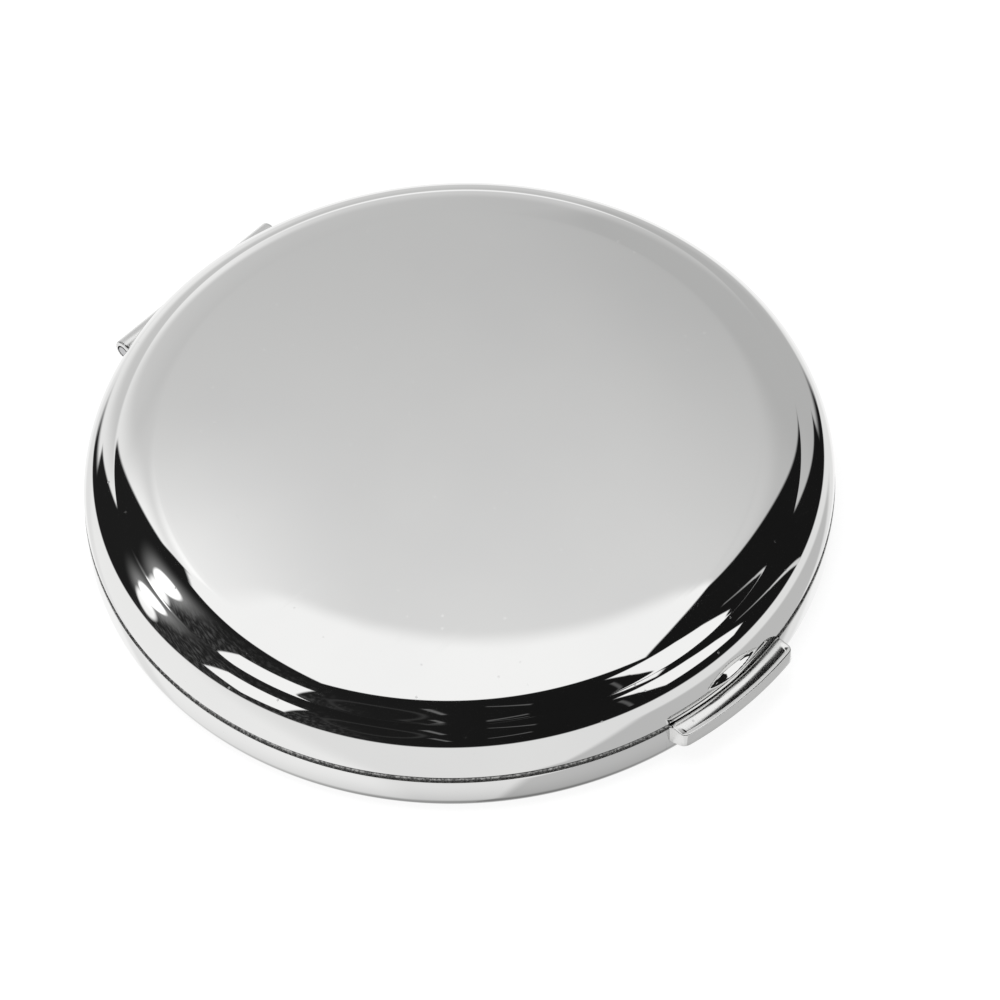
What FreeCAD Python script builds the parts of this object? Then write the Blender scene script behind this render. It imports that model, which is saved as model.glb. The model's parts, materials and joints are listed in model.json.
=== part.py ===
"""Round compact mirror: a pressed metal case with two mirrors, a pin hinge and a push-button catch.

The frame stands on the middle of the base's underside: +Z is up, the hinge is at +Y and the button at -Y.
All lengths are millimetres and all angles are degrees.
"""
import FreeCAD
import Part
import math
import os
import Sketcher

SHEET_NAME = "Sizes"

SIZES = {
    # Case
    "case_radius": 35.0,
    "wall": 0.8,
    "base_corner_radius": 2.4,
    "parting_gap": 0.4,
    # Lid outline: an outer roll, a cove, a crown roll and a shallow dome
    "lid_roll_radius": 4.3,
    "cove_inset": 2.8,
    "crown_roll_radius": 6.7,
    "cove_lean_angle": 47.8,
    "dome_edge_angle": 4.0,
    # Thumb dimple in the lid wall
    "dimple_radius": 12.0,
    "dimple_depth": 0.5,
    # Mirrors, pads, trays and bezels
    "mirror_thickness": 1.8,
    "mirror_hollow": 0.35,
    "mirror_clearance": 0.3,
    "pad_inset": 2.0,
    "pad_thickness": 0.5,
    "base_tray_floor": 1.05,
    "base_tray_clearance": 0.1,
    "lid_tray_wall": 1.3,
    "lid_tray_plate": 0.8,
    "lid_tray_step": 0.7,
    "rib_inset": 2.5,
    "rib_width": 1.5,
    "rib_clearance": 0.05,
    "bezel_lap": 1.0,
    "bezel_slope": 0.6,
    "bezel_clearance": 0.3,
    "bezel_gap": 0.1,
    # Hinge
    "hinge_inset": 0.7,
    "barrel_radius": 1.05,
    "barrel_length": 20.0,
    "knuckle_gap": 0.15,
    "pin_radius": 0.5,
    "pin_fit": 0.02,
    "running_clearance": 0.05,
    "hinge_clearance": 0.3,
    "notch_side_clearance": 0.2,
    "leaf_thickness": 0.4,
    "leaf_edge": 0.6,
    "leaf_set_back": 0.15,
    "leaf_recess_clearance": 0.05,
    "leaf_rivet_radius": 0.5,
    "leaf_rivet_end": 4.0,
    "leaf_rivet_inset": 0.9,
    "leaf_rivet_depth": 1.5,
    "rivet_fit": 0.03,
    # Button and its slide
    "button_width": 14.5,
    "button_projection": 2.0,
    "button_corner_radius": 0.8,
    "button_drop": 0.2,
    "button_height": 2.0,
    "button_face_height": 1.15,
    "button_edge": 0.12,
    "scoop_width": 1.1,
    "scoop_depth": 0.3,
    "lip_width": 0.4,
    "slot_clearance": 0.3,
    "slot_floor_clearance": 0.15,
    "flange_lap": 1.25,
    "flange_clearance": 0.15,
    "flange_thickness": 0.5,
    "flange_height": 1.65,
    "button_set_back": 0.8,
    "latch_front_wall": 0.9,
    "spring_space": 0.8,
    "slide_width": 10.0,
    "slide_thickness": 0.4,
    "slide_clearance": 0.1,
    "tower_width": 2.6,
    "tower_rise": 1.6,
    "nose_depth": 0.3,
    "nose_height": 0.5,
    "bezel_slot_clearance": 0.5,
    "button_rivet_radius": 0.5,
    "button_rivet_end": 1.5,
    "button_rivet_depth": 0.5,
    # Spring
    "spring_end": 1.0,
    "spring_thickness": 0.15,
    "spring_width": 2.0,
    "spring_clearance": 0.05,
    # Strike
    "strike_width": 6.0,
    "strike_thickness": 0.35,
    "strike_clearance": 0.15,
    "strike_drop": 0.35,
    "strike_height": 1.5,
    "window_clearance": 0.1,
    "strike_rivet_radius": 0.35,
    "strike_rivet_end": 1.0,
    "strike_rivet_depth": 0.7,
    # Reach of every cutting tool past what it cuts
    "overrun": 1.0,
}

KNUCKLE_COUNT = 3
LEAF_RIVET_COUNT = 3


class Size:
    """A size as its number and as the sheet expression that gives it."""

    def __init__(self, text, number):
        self.text = text
        self.number = number

    def __add__(self, other):
        return joined(self, "+", other, self.number + number_of(other))

    def __sub__(self, other):
        return joined(self, "-", other, self.number - number_of(other))

    def __mul__(self, other):
        return joined(self, "*", other, self.number * number_of(other))

    def __truediv__(self, other):
        return joined(self, "/", other, self.number / number_of(other))

    def __neg__(self):
        return Size("(-1 * %s)" % self.text, -self.number)


def number_of(value):
    return value.number if isinstance(value, Size) else float(value)


def text_of(value):
    return value.text if isinstance(value, Size) else repr(float(value))


def joined(left, sign, right, number):
    return Size("(%s %s %s)" % (text_of(left), sign, text_of(right)), number)


def root(size):
    return Size("sqrt(%s)" % size.text, math.sqrt(size.number))


def sine(angle):
    return Size("sin(%s)" % angle.text, math.sin(math.radians(angle.number)))


def cosine(angle):
    return Size("cos(%s)" % angle.text, math.cos(math.radians(angle.number)))


def other_leg(long_side, leg):
    """The other short side of a right-angled triangle."""
    return root(long_side * long_side - leg * leg)


def fill_sheet(doc):
    """Put every driving size into the sheet, and give each back as a Size."""
    sheet = doc.addObject("Spreadsheet::Sheet", SHEET_NAME)
    for row, (alias, value) in enumerate(SIZES.items(), start=1):
        sheet.set("A%d" % row, alias)
        sheet.set("B%d" % row, str(value))
        sheet.setAlias("B%d" % row, alias)
    doc.recompute()
    return {alias: Size("%s.%s" % (SHEET_NAME, alias), float(sheet.get(alias))) for alias in SIZES}


doc = FreeCAD.newDocument("compact_mirror")
s = fill_sheet(doc)
subparts = []

ZERO = s["wall"] - s["wall"]
ALONG_X = FreeCAD.Rotation(FreeCAD.Vector(0, 1, 0), 90)
ALONG_Y = FreeCAD.Rotation(FreeCAD.Vector(1, 0, 0), -90)


# Building blocks, each bound to the sheet

def bind(target, path, value):
    target.setExpression(path, value.text)


def keep(shape_object, label, solids=1):
    """List an object as a finished sub-part made of that many solids."""
    shape_object.Label = label
    subparts.append((shape_object, solids))
    return shape_object


def place(target, corner):
    for axis, value in zip("xyz", corner):
        bind(target, "Placement.Base." + axis, value)


def box(name, corner, lengths):
    block = doc.addObject("Part::Box", name)
    for side, value in zip(("Length", "Width", "Height"), lengths):
        bind(block, side, value)
    place(block, corner)
    return block


def wide_box(name, width, y_range, z_range):
    """A box centred on x = 0, between two places along y and along z."""
    y_low, y_high = y_range
    z_low, z_high = z_range
    return box(name, (-width / 2, y_low, z_low), (width, y_high - y_low, z_high - z_low))


def cylinder(name, start, radius, height, rotation=None):
    rod = doc.addObject("Part::Cylinder", name)
    bind(rod, "Radius", radius)
    bind(rod, "Height", height)
    if rotation:
        rod.Placement = FreeCAD.Placement(FreeCAD.Vector(), rotation)
    place(rod, start)
    return rod


def fuse(name, pieces):
    union = doc.addObject("Part::MultiFuse", name)
    union.Shapes = pieces
    union.Refine = True
    return union


def group(name, pieces):
    compound = doc.addObject("Part::Compound", name)
    compound.Links = pieces
    return compound


def cut(name, base, tools):
    difference = doc.addObject("Part::Cut", name)
    difference.Base = base
    difference.Tool = tools[0] if len(tools) == 1 else fuse(name + "_tools", tools)
    return difference


def arc_between(start, end, radius, side):
    """The short arc between two points, its centre to the left of the way for side 1 and right for -1."""
    half_x = (end[0] - start[0]) / 2
    half_y = (end[1] - start[1]) / 2
    half_chord = math.hypot(half_x, half_y)
    reach = side * math.sqrt(radius * radius - half_chord * half_chord) / half_chord
    centre = (start[0] + half_x - reach * half_y, start[1] + half_y + reach * half_x)
    first, last = (start, end) if side > 0 else (end, start)
    angles = [math.atan2(point[1] - centre[1], point[0] - centre[0]) for point in (first, last)]
    circle = Part.Circle(FreeCAD.Vector(centre[0], centre[1], 0), FreeCAD.Vector(0, 0, 1), radius)
    return Part.ArcOfCircle(circle, angles[0], angles[1])


def line(point):
    return (point, None, 0)


def arc(point, radius, side):
    return (point, radius, side)


def lock(sketch, geometry, end, point):
    """Hold one end of a sketch line or arc at a point given by two sizes."""
    for kind, axis, value in (("DistanceX", -2, point[0]), ("DistanceY", -1, point[1])):
        if value is ZERO:
            sketch.addConstraint(Sketcher.Constraint("PointOnObject", geometry, end, axis))
            continue
        constraint = Sketcher.Constraint(kind, -1, 1, geometry, end, value.number)
        bind(sketch, "Constraints[%d]" % sketch.addConstraint(constraint), value)


def outline_sketch(body, role, steps):
    """A closed outline on one of the body's planes: each step leads from the point before to its own."""
    sketch = body.newObject("Sketcher::SketchObject", body.Name + "_outline")
    plane = [feature for feature in body.Origin.OriginFeatures if feature.Role == role][0]
    sketch.AttachmentSupport = [(plane, "")]
    sketch.MapMode = "FlatFace"
    ends = []
    for index, (point, radius, side) in enumerate(steps):
        before = steps[index - 1][0]
        start = (before[0].number, before[1].number)
        end = (point[0].number, point[1].number)
        if radius is None:
            edge = Part.LineSegment(FreeCAD.Vector(start[0], start[1], 0), FreeCAD.Vector(end[0], end[1], 0))
        else:
            edge = arc_between(start, end, radius.number, side)
        geometry = sketch.addGeometry(edge, False)
        ends.append((geometry, 2, 1) if side < 0 else (geometry, 1, 2))
    for index, (geometry, first, last) in enumerate(ends):
        following = ends[(index + 1) % len(ends)]
        sketch.addConstraint(Sketcher.Constraint("Coincident", geometry, last, following[0], following[1]))
        point, radius, side = steps[index]
        lock(sketch, geometry, last, point)
        if radius is not None:
            constraint = Sketcher.Constraint("Radius", geometry, radius.number)
            bind(sketch, "Constraints[%d]" % sketch.addConstraint(constraint), radius)
    return sketch


def turned(name, steps):
    """A body turned about +Z from an outline whose points are a radius and a height."""
    body = doc.addObject("PartDesign::Body", name)
    sketch = outline_sketch(body, "XZ_Plane", steps)
    revolution = body.newObject("PartDesign::Revolution", name + "_turn")
    revolution.Profile = sketch
    revolution.ReferenceAxis = (sketch, ["V_Axis"])
    revolution.Angle = 360
    return body


def padded(name, steps, z_low, height):
    """A body with a plan outline, standing on one height."""
    body = doc.addObject("PartDesign::Body", name)
    sketch = outline_sketch(body, "XY_Plane", steps)
    bind(sketch, "AttachmentOffset.Base.z", z_low)
    pad = body.newObject("PartDesign::Pad", name + "_pad")
    pad.Profile = sketch
    bind(pad, "Length", height)
    return body


def rectangle(radius_in, radius_out, z_low, z_high):
    """Outline steps of a plain ring, or of a disc where the inner radius is ZERO."""
    corners = ((radius_in, z_low), (radius_out, z_low), (radius_out, z_high), (radius_in, z_high))
    return [line(corner) for corner in corners]


# Shared places

overrun = s["overrun"]
far = s["case_radius"] + s["button_projection"] + overrun
inner_radius = s["case_radius"] - s["wall"]
base_seat = s["wall"] + s["base_tray_floor"] + s["pad_thickness"] + s["mirror_thickness"]
hinge_y = s["case_radius"] - s["hinge_inset"]
hinge_z = base_seat + s["barrel_radius"]
lid_seat = hinge_z + s["barrel_radius"]
base_height = hinge_z - s["parting_gap"] / 2
lid_rim = hinge_z + s["parting_gap"] / 2
corner_circle = s["case_radius"] - s["base_corner_radius"]
cove_circle = s["case_radius"] - s["cove_inset"]
bezel_outer = inner_radius - s["bezel_clearance"]
base_bezel_face = hinge_z - s["bezel_gap"] / 2
lid_bezel_face = hinge_z + s["bezel_gap"] / 2
slot_width = s["button_width"] + s["slot_clearance"] * 2
flange_width = slot_width + s["flange_lap"] * 2
flange_front_y = s["flange_clearance"] - other_leg(inner_radius, flange_width / 2)
slide_front_y = flange_front_y + s["flange_thickness"]
slide_back_y = slide_front_y + s["slide_thickness"]
latch_wall_y = slide_back_y + s["spring_space"]
tray_bore = -latch_wall_y - s["latch_front_wall"]
mirror_radius = tray_bore - s["mirror_clearance"]
pad_radius = mirror_radius - s["pad_inset"]
bezel_inner = mirror_radius - s["bezel_lap"]
slide_top = base_seat - s["slide_clearance"]
rivet_y = tray_bore + s["leaf_rivet_inset"]
leaf_inner_y = rivet_y - s["leaf_edge"]
leaf_outer_y = hinge_y - s["barrel_radius"] - s["leaf_set_back"]
bezel_back_y = hinge_y - s["barrel_radius"] - s["hinge_clearance"]
strike_web_z = base_height + s["tower_rise"] + s["strike_clearance"]
strike_web_top = strike_web_z + s["strike_thickness"]
strike_leg_back_y = slide_front_y - s["nose_depth"] - s["strike_clearance"]
strike_leg_front_y = strike_leg_back_y - s["strike_thickness"]
strike_plate_front_y = latch_wall_y - s["strike_thickness"]
strike_rivet_z = strike_web_z + s["strike_height"] / 2
button_top = base_height - s["button_drop"]
button_bottom = button_top - s["button_height"]
button_rivet_z = slide_top - s["flange_height"] / 2


# Case

def hinge_notch(name, z_range):
    """Tool that opens the case wall for the hinge barrel."""
    width = s["barrel_length"] + s["notch_side_clearance"] * 2
    return wide_box(name, width, (leaf_inner_y, far), z_range)


def make_base_shell():
    corner = s["base_corner_radius"]
    pan = turned("base_pan", [
        line((ZERO, ZERO)),
        line((corner_circle, ZERO)),
        arc((s["case_radius"], corner), corner, 1),
        line((s["case_radius"], base_height)),
        line((inner_radius, base_height)),
        line((inner_radius, corner)),
        arc((corner_circle, s["wall"]), corner - s["wall"], -1),
        line((ZERO, s["wall"])),
    ])
    notch_low = hinge_z - s["barrel_radius"] - s["hinge_clearance"]
    slot_low = button_bottom - s["slot_floor_clearance"]
    above = base_height + overrun
    tools = [
        hinge_notch("base_notch", (notch_low, above)),
        wide_box("button_slot", slot_width, (-far, slide_back_y), (slot_low, above)),
    ]
    keep(cut("base_case", pan, tools), "base_shell")


roll_centre = s["case_radius"] - s["lid_roll_radius"]
cove_z = lid_rim + other_leg(s["lid_roll_radius"], cove_circle - roll_centre)
crown_centre = cove_circle - s["crown_roll_radius"] * cosine(s["cove_lean_angle"])
crown_centre_z = cove_z - s["crown_roll_radius"] * sine(s["cove_lean_angle"])
dome_sine = sine(s["dome_edge_angle"])
dome_cosine = cosine(s["dome_edge_angle"])
dome_edge = crown_centre + s["crown_roll_radius"] * dome_sine
dome_edge_z = crown_centre_z + s["crown_roll_radius"] * dome_cosine
dome_radius = dome_edge / dome_sine
dome_centre_z = dome_edge_z - dome_radius * dome_cosine


def make_lid_shell():
    wall = s["wall"]
    roll_share = wall / s["lid_roll_radius"]
    inner_cove = cove_circle - (cove_circle - roll_centre) * roll_share
    inner_cove_z = cove_z - (cove_z - lid_rim) * roll_share
    inner_crown = s["crown_roll_radius"] - wall
    cap = turned("lid_cap", [
        line((s["case_radius"], lid_rim)),
        arc((cove_circle, cove_z), s["lid_roll_radius"], 1),
        arc((dome_edge, dome_edge_z), s["crown_roll_radius"], 1),
        arc((ZERO, dome_centre_z + dome_radius), dome_radius, 1),
        line((ZERO, dome_centre_z + dome_radius - wall)),
        arc((crown_centre + inner_crown * dome_sine, crown_centre_z + inner_crown * dome_cosine),
            dome_radius - wall, -1),
        arc((cove_circle - wall * cosine(s["cove_lean_angle"]), cove_z - wall * sine(s["cove_lean_angle"])),
            inner_crown, -1),
        arc((inner_cove, inner_cove_z), wall, 1),
        arc((inner_radius, lid_rim), s["lid_roll_radius"] - wall, -1),
    ])
    notch_high = hinge_z + s["barrel_radius"] + s["hinge_clearance"]
    dimple = doc.addObject("Part::Sphere", "thumb_dimple")
    bind(dimple, "Radius", s["dimple_radius"])
    place(dimple, (ZERO, s["dimple_depth"] - s["case_radius"] - s["dimple_radius"], lid_rim))
    tools = [hinge_notch("lid_notch", (lid_rim - overrun, notch_high)), dimple]
    keep(cut("lid_case", cap, tools), "lid_shell")


# Mirrors with their pads, trays and bezels

def front_chord(name, y_edge, z_range):
    """Tool that takes off everything in front of a chord."""
    return wide_box(name, far * 2, (-far, y_edge), z_range)


def make_base_stack():
    mirror_low = base_seat - s["mirror_thickness"]
    pad_low = mirror_low - s["pad_thickness"]
    tray_outer = corner_circle - s["base_tray_clearance"]
    tray = turned("base_tray_cup", [
        line((ZERO, s["wall"])),
        line((tray_outer, s["wall"])),
        line((tray_outer, base_seat)),
        line((tray_bore, base_seat)),
        line((tray_bore, pad_low)),
        line((ZERO, pad_low)),
    ])
    tools = leaf_rivets("base_tray_hole", base_seat - s["leaf_rivet_depth"], s["rivet_fit"], overrun)
    tools.append(front_chord("base_tray_chord", latch_wall_y, (ZERO, base_seat + overrun)))
    keep(cut("base_carrier", tray, tools), "base_tray")
    keep(turned("base_pad", rectangle(ZERO, pad_radius, pad_low, mirror_low)), "base_mirror_pad")
    hollow = s["mirror_hollow"]
    hollow_radius = (bezel_inner * bezel_inner + hollow * hollow) / (hollow * 2)
    glass = turned("base_glass", [
        line((ZERO, mirror_low)),
        line((mirror_radius, mirror_low)),
        line((mirror_radius, base_seat)),
        line((bezel_inner, base_seat)),
        arc((ZERO, base_seat - hollow), hollow_radius, -1),
    ])
    keep(glass, "base_mirror")


def make_lid_stack():
    mirror_high = lid_seat + s["mirror_thickness"]
    pad_high = mirror_high + s["pad_thickness"]
    plate_top = pad_high + s["lid_tray_plate"]
    tray_outer = tray_bore + s["lid_tray_wall"]
    plate_outer = tray_outer - s["lid_tray_step"]
    rib_outer = pad_radius - s["rib_inset"]
    rib_inner = rib_outer - s["rib_width"]
    rib_top = dome_centre_z + other_leg(dome_radius - s["wall"], rib_outer) - s["rib_clearance"]
    tray = turned("lid_tray_cup", [
        line((ZERO, plate_top)),
        line((ZERO, pad_high)),
        line((tray_bore, pad_high)),
        line((tray_bore, lid_seat)),
        line((tray_outer, lid_seat)),
        line((tray_outer, pad_high)),
        line((plate_outer, plate_top)),
        line((rib_outer, plate_top)),
        line((rib_outer, rib_top)),
        line((rib_inner, rib_top)),
        line((rib_inner, plate_top)),
    ])
    tools = leaf_rivets("lid_tray_hole", lid_seat - overrun, s["rivet_fit"], overrun)
    tools.append(front_chord("lid_tray_chord", latch_wall_y, (lid_seat - overrun, plate_top + overrun)))
    tools += strike_rivets("strike_tray_hole", s["rivet_fit"])
    keep(cut("lid_carrier", tray, tools), "lid_tray")
    keep(turned("lid_pad", rectangle(ZERO, pad_radius, mirror_high, pad_high)), "lid_mirror_pad")
    keep(turned("lid_glass", rectangle(ZERO, mirror_radius, lid_seat, mirror_high)), "lid_mirror")


def make_bezel(label, seat, face, leaf_z_range):
    """Ring on a mirror's edge, cut back for barrel, button and latch, and recessed for the leaf."""
    low, high = (seat, face) if seat.number < face.number else (face, seat)
    face_inner = bezel_inner + s["bezel_slope"]
    ring = turned(label + "_ring", [
        line((bezel_inner, seat)),
        line((bezel_outer, seat)),
        line((bezel_outer, face)),
        line((face_inner, face)),
    ])
    span = (low - overrun, high + overrun)
    tower_room = s["tower_width"] + s["bezel_slot_clearance"] * 2
    tools = [
        front_chord(label + "_chord", slide_front_y, span),
        wide_box(label + "_slot", tower_room, (-far, latch_wall_y), span),
        wide_box(label + "_back", far * 2, (bezel_back_y, far), span),
        wide_box(label + "_recess", s["barrel_length"] + s["leaf_recess_clearance"] * 2,
                 (leaf_inner_y - s["leaf_recess_clearance"], far), leaf_z_range),
    ]
    keep(cut(label + "_body", ring, tools), label)


# Hinge

def leaf_rivets(name, z_low, fit, extra):
    """Rods of the leaf rivets, or the tools for their holes where a fit is given."""
    rods = []
    pitch = (s["barrel_length"] - s["leaf_rivet_end"] * 2) / (LEAF_RIVET_COUNT - 1)
    for index in range(LEAF_RIVET_COUNT):
        x = pitch * (index - (LEAF_RIVET_COUNT - 1) / 2)
        height = s["leaf_rivet_depth"] + s["leaf_thickness"] + extra
        radius = s["leaf_rivet_radius"] + fit
        rods.append(cylinder("%s_%d" % (name, index), (x, rivet_y, z_low), radius, height))
    return rods


def make_leaf(label, knuckles, plate_z, hole_z, bore_radius):
    """Leaf with a barrel tube at each of its own knuckles, its plate level with the barrel's edge."""
    thickness = s["leaf_thickness"]
    plate_width = s["barrel_length"] - s["knuckle_gap"]
    plate_z_range = (plate_z, plate_z + thickness)
    pieces = [wide_box(label + "_plate", plate_width, (leaf_inner_y, leaf_outer_y), plate_z_range)]
    pitch = s["barrel_length"] / KNUCKLE_COUNT
    for index in knuckles:
        start_x = pitch * index - s["barrel_length"] / 2 + s["knuckle_gap"] / 2
        length = pitch - s["knuckle_gap"]
        strap_depth = hinge_y - leaf_outer_y
        pieces.append(box("%s_strap_%d" % (label, index), (start_x, leaf_outer_y, plate_z),
                          (length, strap_depth, thickness)))
        pieces.append(cylinder("%s_tube_%d" % (label, index), (start_x, hinge_y, hinge_z),
                               s["barrel_radius"], length, ALONG_X))
    bore_length = s["barrel_length"] + overrun * 2
    bore_start = (-bore_length / 2, hinge_y, hinge_z)
    tools = [cylinder(label + "_bore", bore_start, bore_radius, bore_length, ALONG_X)]
    tools += leaf_rivets(label + "_hole", hole_z, s["rivet_fit"], overrun)
    keep(cut(label + "_body", fuse(label + "_blank", pieces), tools), label)


def make_hinge():
    even = [index for index in range(KNUCKLE_COUNT) if index % 2 == 0]
    odd = [index for index in range(KNUCKLE_COUNT) if index % 2]
    lid_plate = lid_seat - s["leaf_thickness"]
    base_rivet_low = base_seat - s["leaf_rivet_depth"]
    lid_hole_low = lid_plate - overrun / 2
    make_leaf("base_hinge_leaf", even, base_seat, base_rivet_low, s["pin_radius"] + s["pin_fit"])
    make_leaf("lid_hinge_leaf", odd, lid_plate, lid_hole_low, s["pin_radius"] + s["running_clearance"])
    base_rods = leaf_rivets("base_rivet", base_rivet_low, ZERO, ZERO)
    lid_rods = leaf_rivets("lid_rivet", lid_plate, ZERO, ZERO)
    keep(group("base_rivet_set", base_rods), "base_hinge_rivets", LEAF_RIVET_COUNT)
    keep(group("lid_rivet_set", lid_rods), "lid_hinge_rivets", LEAF_RIVET_COUNT)
    pin_length = s["barrel_length"] - s["knuckle_gap"]
    pin_start = (-pin_length / 2, hinge_y, hinge_z)
    keep(cylinder("pin", pin_start, s["pin_radius"], pin_length, ALONG_X), "hinge_pin")


# Button, slide, spring and strike

def button_rivets(name, fit):
    start_y = slide_front_y - s["flange_thickness"] - s["button_rivet_depth"]
    length = slide_back_y - start_y
    radius = s["button_rivet_radius"] + fit
    rods = []
    for side in (-1, 1):
        x = (s["slide_width"] / 2 - s["button_rivet_end"]) * side
        start = (x, start_y, button_rivet_z)
        rods.append(cylinder("%s_%d" % (name, side + 1), start, radius, length, ALONG_Y))
    return rods


def make_button():
    half = s["button_width"] / 2
    corner = s["button_corner_radius"]
    outer = s["case_radius"] + s["button_projection"]
    corner_y = -other_leg(outer - corner, half - corner)
    turn_share = outer / (outer - corner)
    bar = padded("button_bar", [
        line((-half, slide_front_y)),
        line((-half, corner_y)),
        arc(((corner - half) * turn_share, corner_y * turn_share), corner, 1),
        arc(((half - corner) * turn_share, corner_y * turn_share), outer, 1),
        arc((half, corner_y), corner, 1),
        line((half, slide_front_y)),
    ], button_bottom, s["button_height"])
    flange = wide_box("button_flange", flange_width, (flange_front_y, slide_front_y),
                      (slide_top - s["flange_height"], slide_top))
    depth = s["scoop_depth"]
    tube = (s["scoop_width"] * s["scoop_width"] / 4 + depth * depth) / (depth * 2)
    scoop = doc.addObject("Part::Torus", "finger_scoop")
    bind(scoop, "Radius1", outer - s["lip_width"] - s["scoop_width"] / 2)
    bind(scoop, "Radius2", tube)
    place(scoop, (ZERO, ZERO, button_top - depth + tube))
    face_low = button_top - s["button_face_height"]
    edge = s["button_edge"]
    under = turned("button_underside", [
        line((s["case_radius"], button_bottom - overrun)),
        line((far, button_bottom - overrun)),
        line((far, face_low)),
        line((outer, face_low)),
        line((s["case_radius"], button_bottom)),
    ])
    brim = turned("button_brim", [
        line((outer, button_top - edge)),
        line((far, button_top - edge)),
        line((far, button_top + overrun)),
        line((outer - edge, button_top + overrun)),
        line((outer - edge, button_top)),
    ])
    under_bezel = wide_box("button_under_bezel", far, (slide_front_y - s["button_set_back"], ZERO),
                           (slide_top, button_top + overrun))
    tools = [scoop, under, brim, under_bezel] + button_rivets("button_hole", s["rivet_fit"])
    keep(cut("button_body", fuse("button_blank", [bar, flange]), tools), "push_button")


def make_slide():
    slide_y = (slide_front_y, slide_back_y)
    tower_top = base_height + s["tower_rise"]
    nose_y = (slide_front_y - s["nose_depth"], slide_back_y)
    plate = wide_box("slide_plate", s["slide_width"], slide_y, (s["wall"] + s["slide_clearance"], slide_top))
    tower = wide_box("slide_tower", s["tower_width"], slide_y, (slide_top, tower_top))
    nose = wide_box("slide_nose", s["tower_width"], nose_y, (tower_top - s["nose_height"], tower_top))
    blank = fuse("slide_blank", [plate, tower, nose])
    keep(cut("slide_body", blank, button_rivets("slide_hole", s["rivet_fit"])), "latch_slide")
    keep(group("button_rivet_set", button_rivets("button_rivet", ZERO)), "button_rivets", 2)


def make_spring():
    """Bowed leaf between the tray's front wall and the back of the slide."""
    span = s["slide_width"] / 2 - s["spring_end"]
    thickness = s["spring_thickness"]
    rise = s["spring_space"] - s["spring_clearance"] * 2 - thickness
    bow_radius = (span * span + rise * rise) / (rise * 2)
    back_y = latch_wall_y - s["spring_clearance"]
    low = s["wall"] + (slide_top - s["wall"] - s["spring_width"]) / 2
    leaf = padded("spring_leaf", [
        line((-span, back_y - thickness)),
        arc((span, back_y - thickness), bow_radius, 1),
        line((span, back_y)),
        arc((-span, back_y), bow_radius, -1),
    ], low, s["spring_width"])
    keep(leaf, "latch_spring")


def strike_rivets(name, fit):
    start_y = strike_plate_front_y
    length = s["strike_thickness"] + s["strike_rivet_depth"]
    radius = s["strike_rivet_radius"] + fit
    rods = []
    for side in (-1, 1):
        x = (s["strike_width"] / 2 - s["strike_rivet_end"]) * side
        start = (x, start_y, strike_rivet_z)
        rods.append(cylinder("%s_%d" % (name, side + 1), start, radius, length, ALONG_Y))
    return rods


def make_strike():
    width = s["strike_width"]
    leg_y = (strike_leg_front_y, strike_leg_back_y)
    plate_y = (strike_plate_front_y, latch_wall_y)
    leg_low = lid_bezel_face + s["strike_drop"]
    nose_top = base_height + s["tower_rise"]
    nose_low = nose_top - s["nose_height"]
    gap = s["window_clearance"]
    blank = fuse("strike_blank", [
        wide_box("strike_leg", width, leg_y, (leg_low, strike_web_top)),
        wide_box("strike_web", width, (strike_leg_front_y, latch_wall_y), (strike_web_z, strike_web_top)),
        wide_box("strike_plate", width, plate_y, (strike_web_z, strike_web_z + s["strike_height"])),
    ])
    window_width = s["tower_width"] + s["bezel_slot_clearance"]
    window_y = (-far, strike_leg_back_y + gap)
    window = wide_box("strike_window", window_width, window_y, (nose_low - gap, nose_top + gap))
    keep(cut("strike_body", blank, [window] + strike_rivets("strike_hole", s["rivet_fit"])), "lid_strike")
    keep(group("strike_rivet_set", strike_rivets("strike_rivet", ZERO)), "lid_strike_rivets", 2)


make_base_shell()
make_lid_shell()
make_base_stack()
make_lid_stack()
leaf_room = s["leaf_thickness"] + s["leaf_recess_clearance"]
make_bezel("base_bezel", base_seat, base_bezel_face, (base_seat - overrun, base_seat + leaf_room))
make_bezel("lid_bezel", lid_seat, lid_bezel_face, (lid_seat - leaf_room, lid_seat + overrun))
make_hinge()
make_button()
make_slide()
make_spring()
make_strike()
doc.recompute()


# Checks, then one file for each sub-part

failed = [item.Name for item in doc.Objects if "Invalid" in item.State or "Error" in item.State]
if failed:
    raise RuntimeError("objects that failed to build: " + ", ".join(failed))
for item, solids in subparts:
    if item.Shape.isNull() or not item.Shape.isValid():
        raise RuntimeError("no valid shape: " + item.Label)
    if len(item.Shape.Solids) != solids:
        raise RuntimeError("%s has %d solids, not %d" % (item.Label, len(item.Shape.Solids), solids))

os.makedirs("parts", exist_ok=True)
for item, solids in subparts:
    item.Shape.exportStep(os.path.join("parts", item.Label + ".step"))
    bounds = item.Shape.BoundBox
    print("%-20s volume %9.3f  x %7.2f %7.2f  y %7.2f %7.2f  z %6.2f %6.2f" % (
        item.Label, item.Shape.Volume, bounds.XMin, bounds.XMax, bounds.YMin, bounds.YMax,
        bounds.ZMin, bounds.ZMax))
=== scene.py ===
"""Looks of the round compact mirror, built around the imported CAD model.

Lengths are millimetres until they reach Blender, which takes metres. Directions of the surround are degrees.
"""
import json
import math

import bmesh
import bpy
from mathutils import Matrix, Vector


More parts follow.
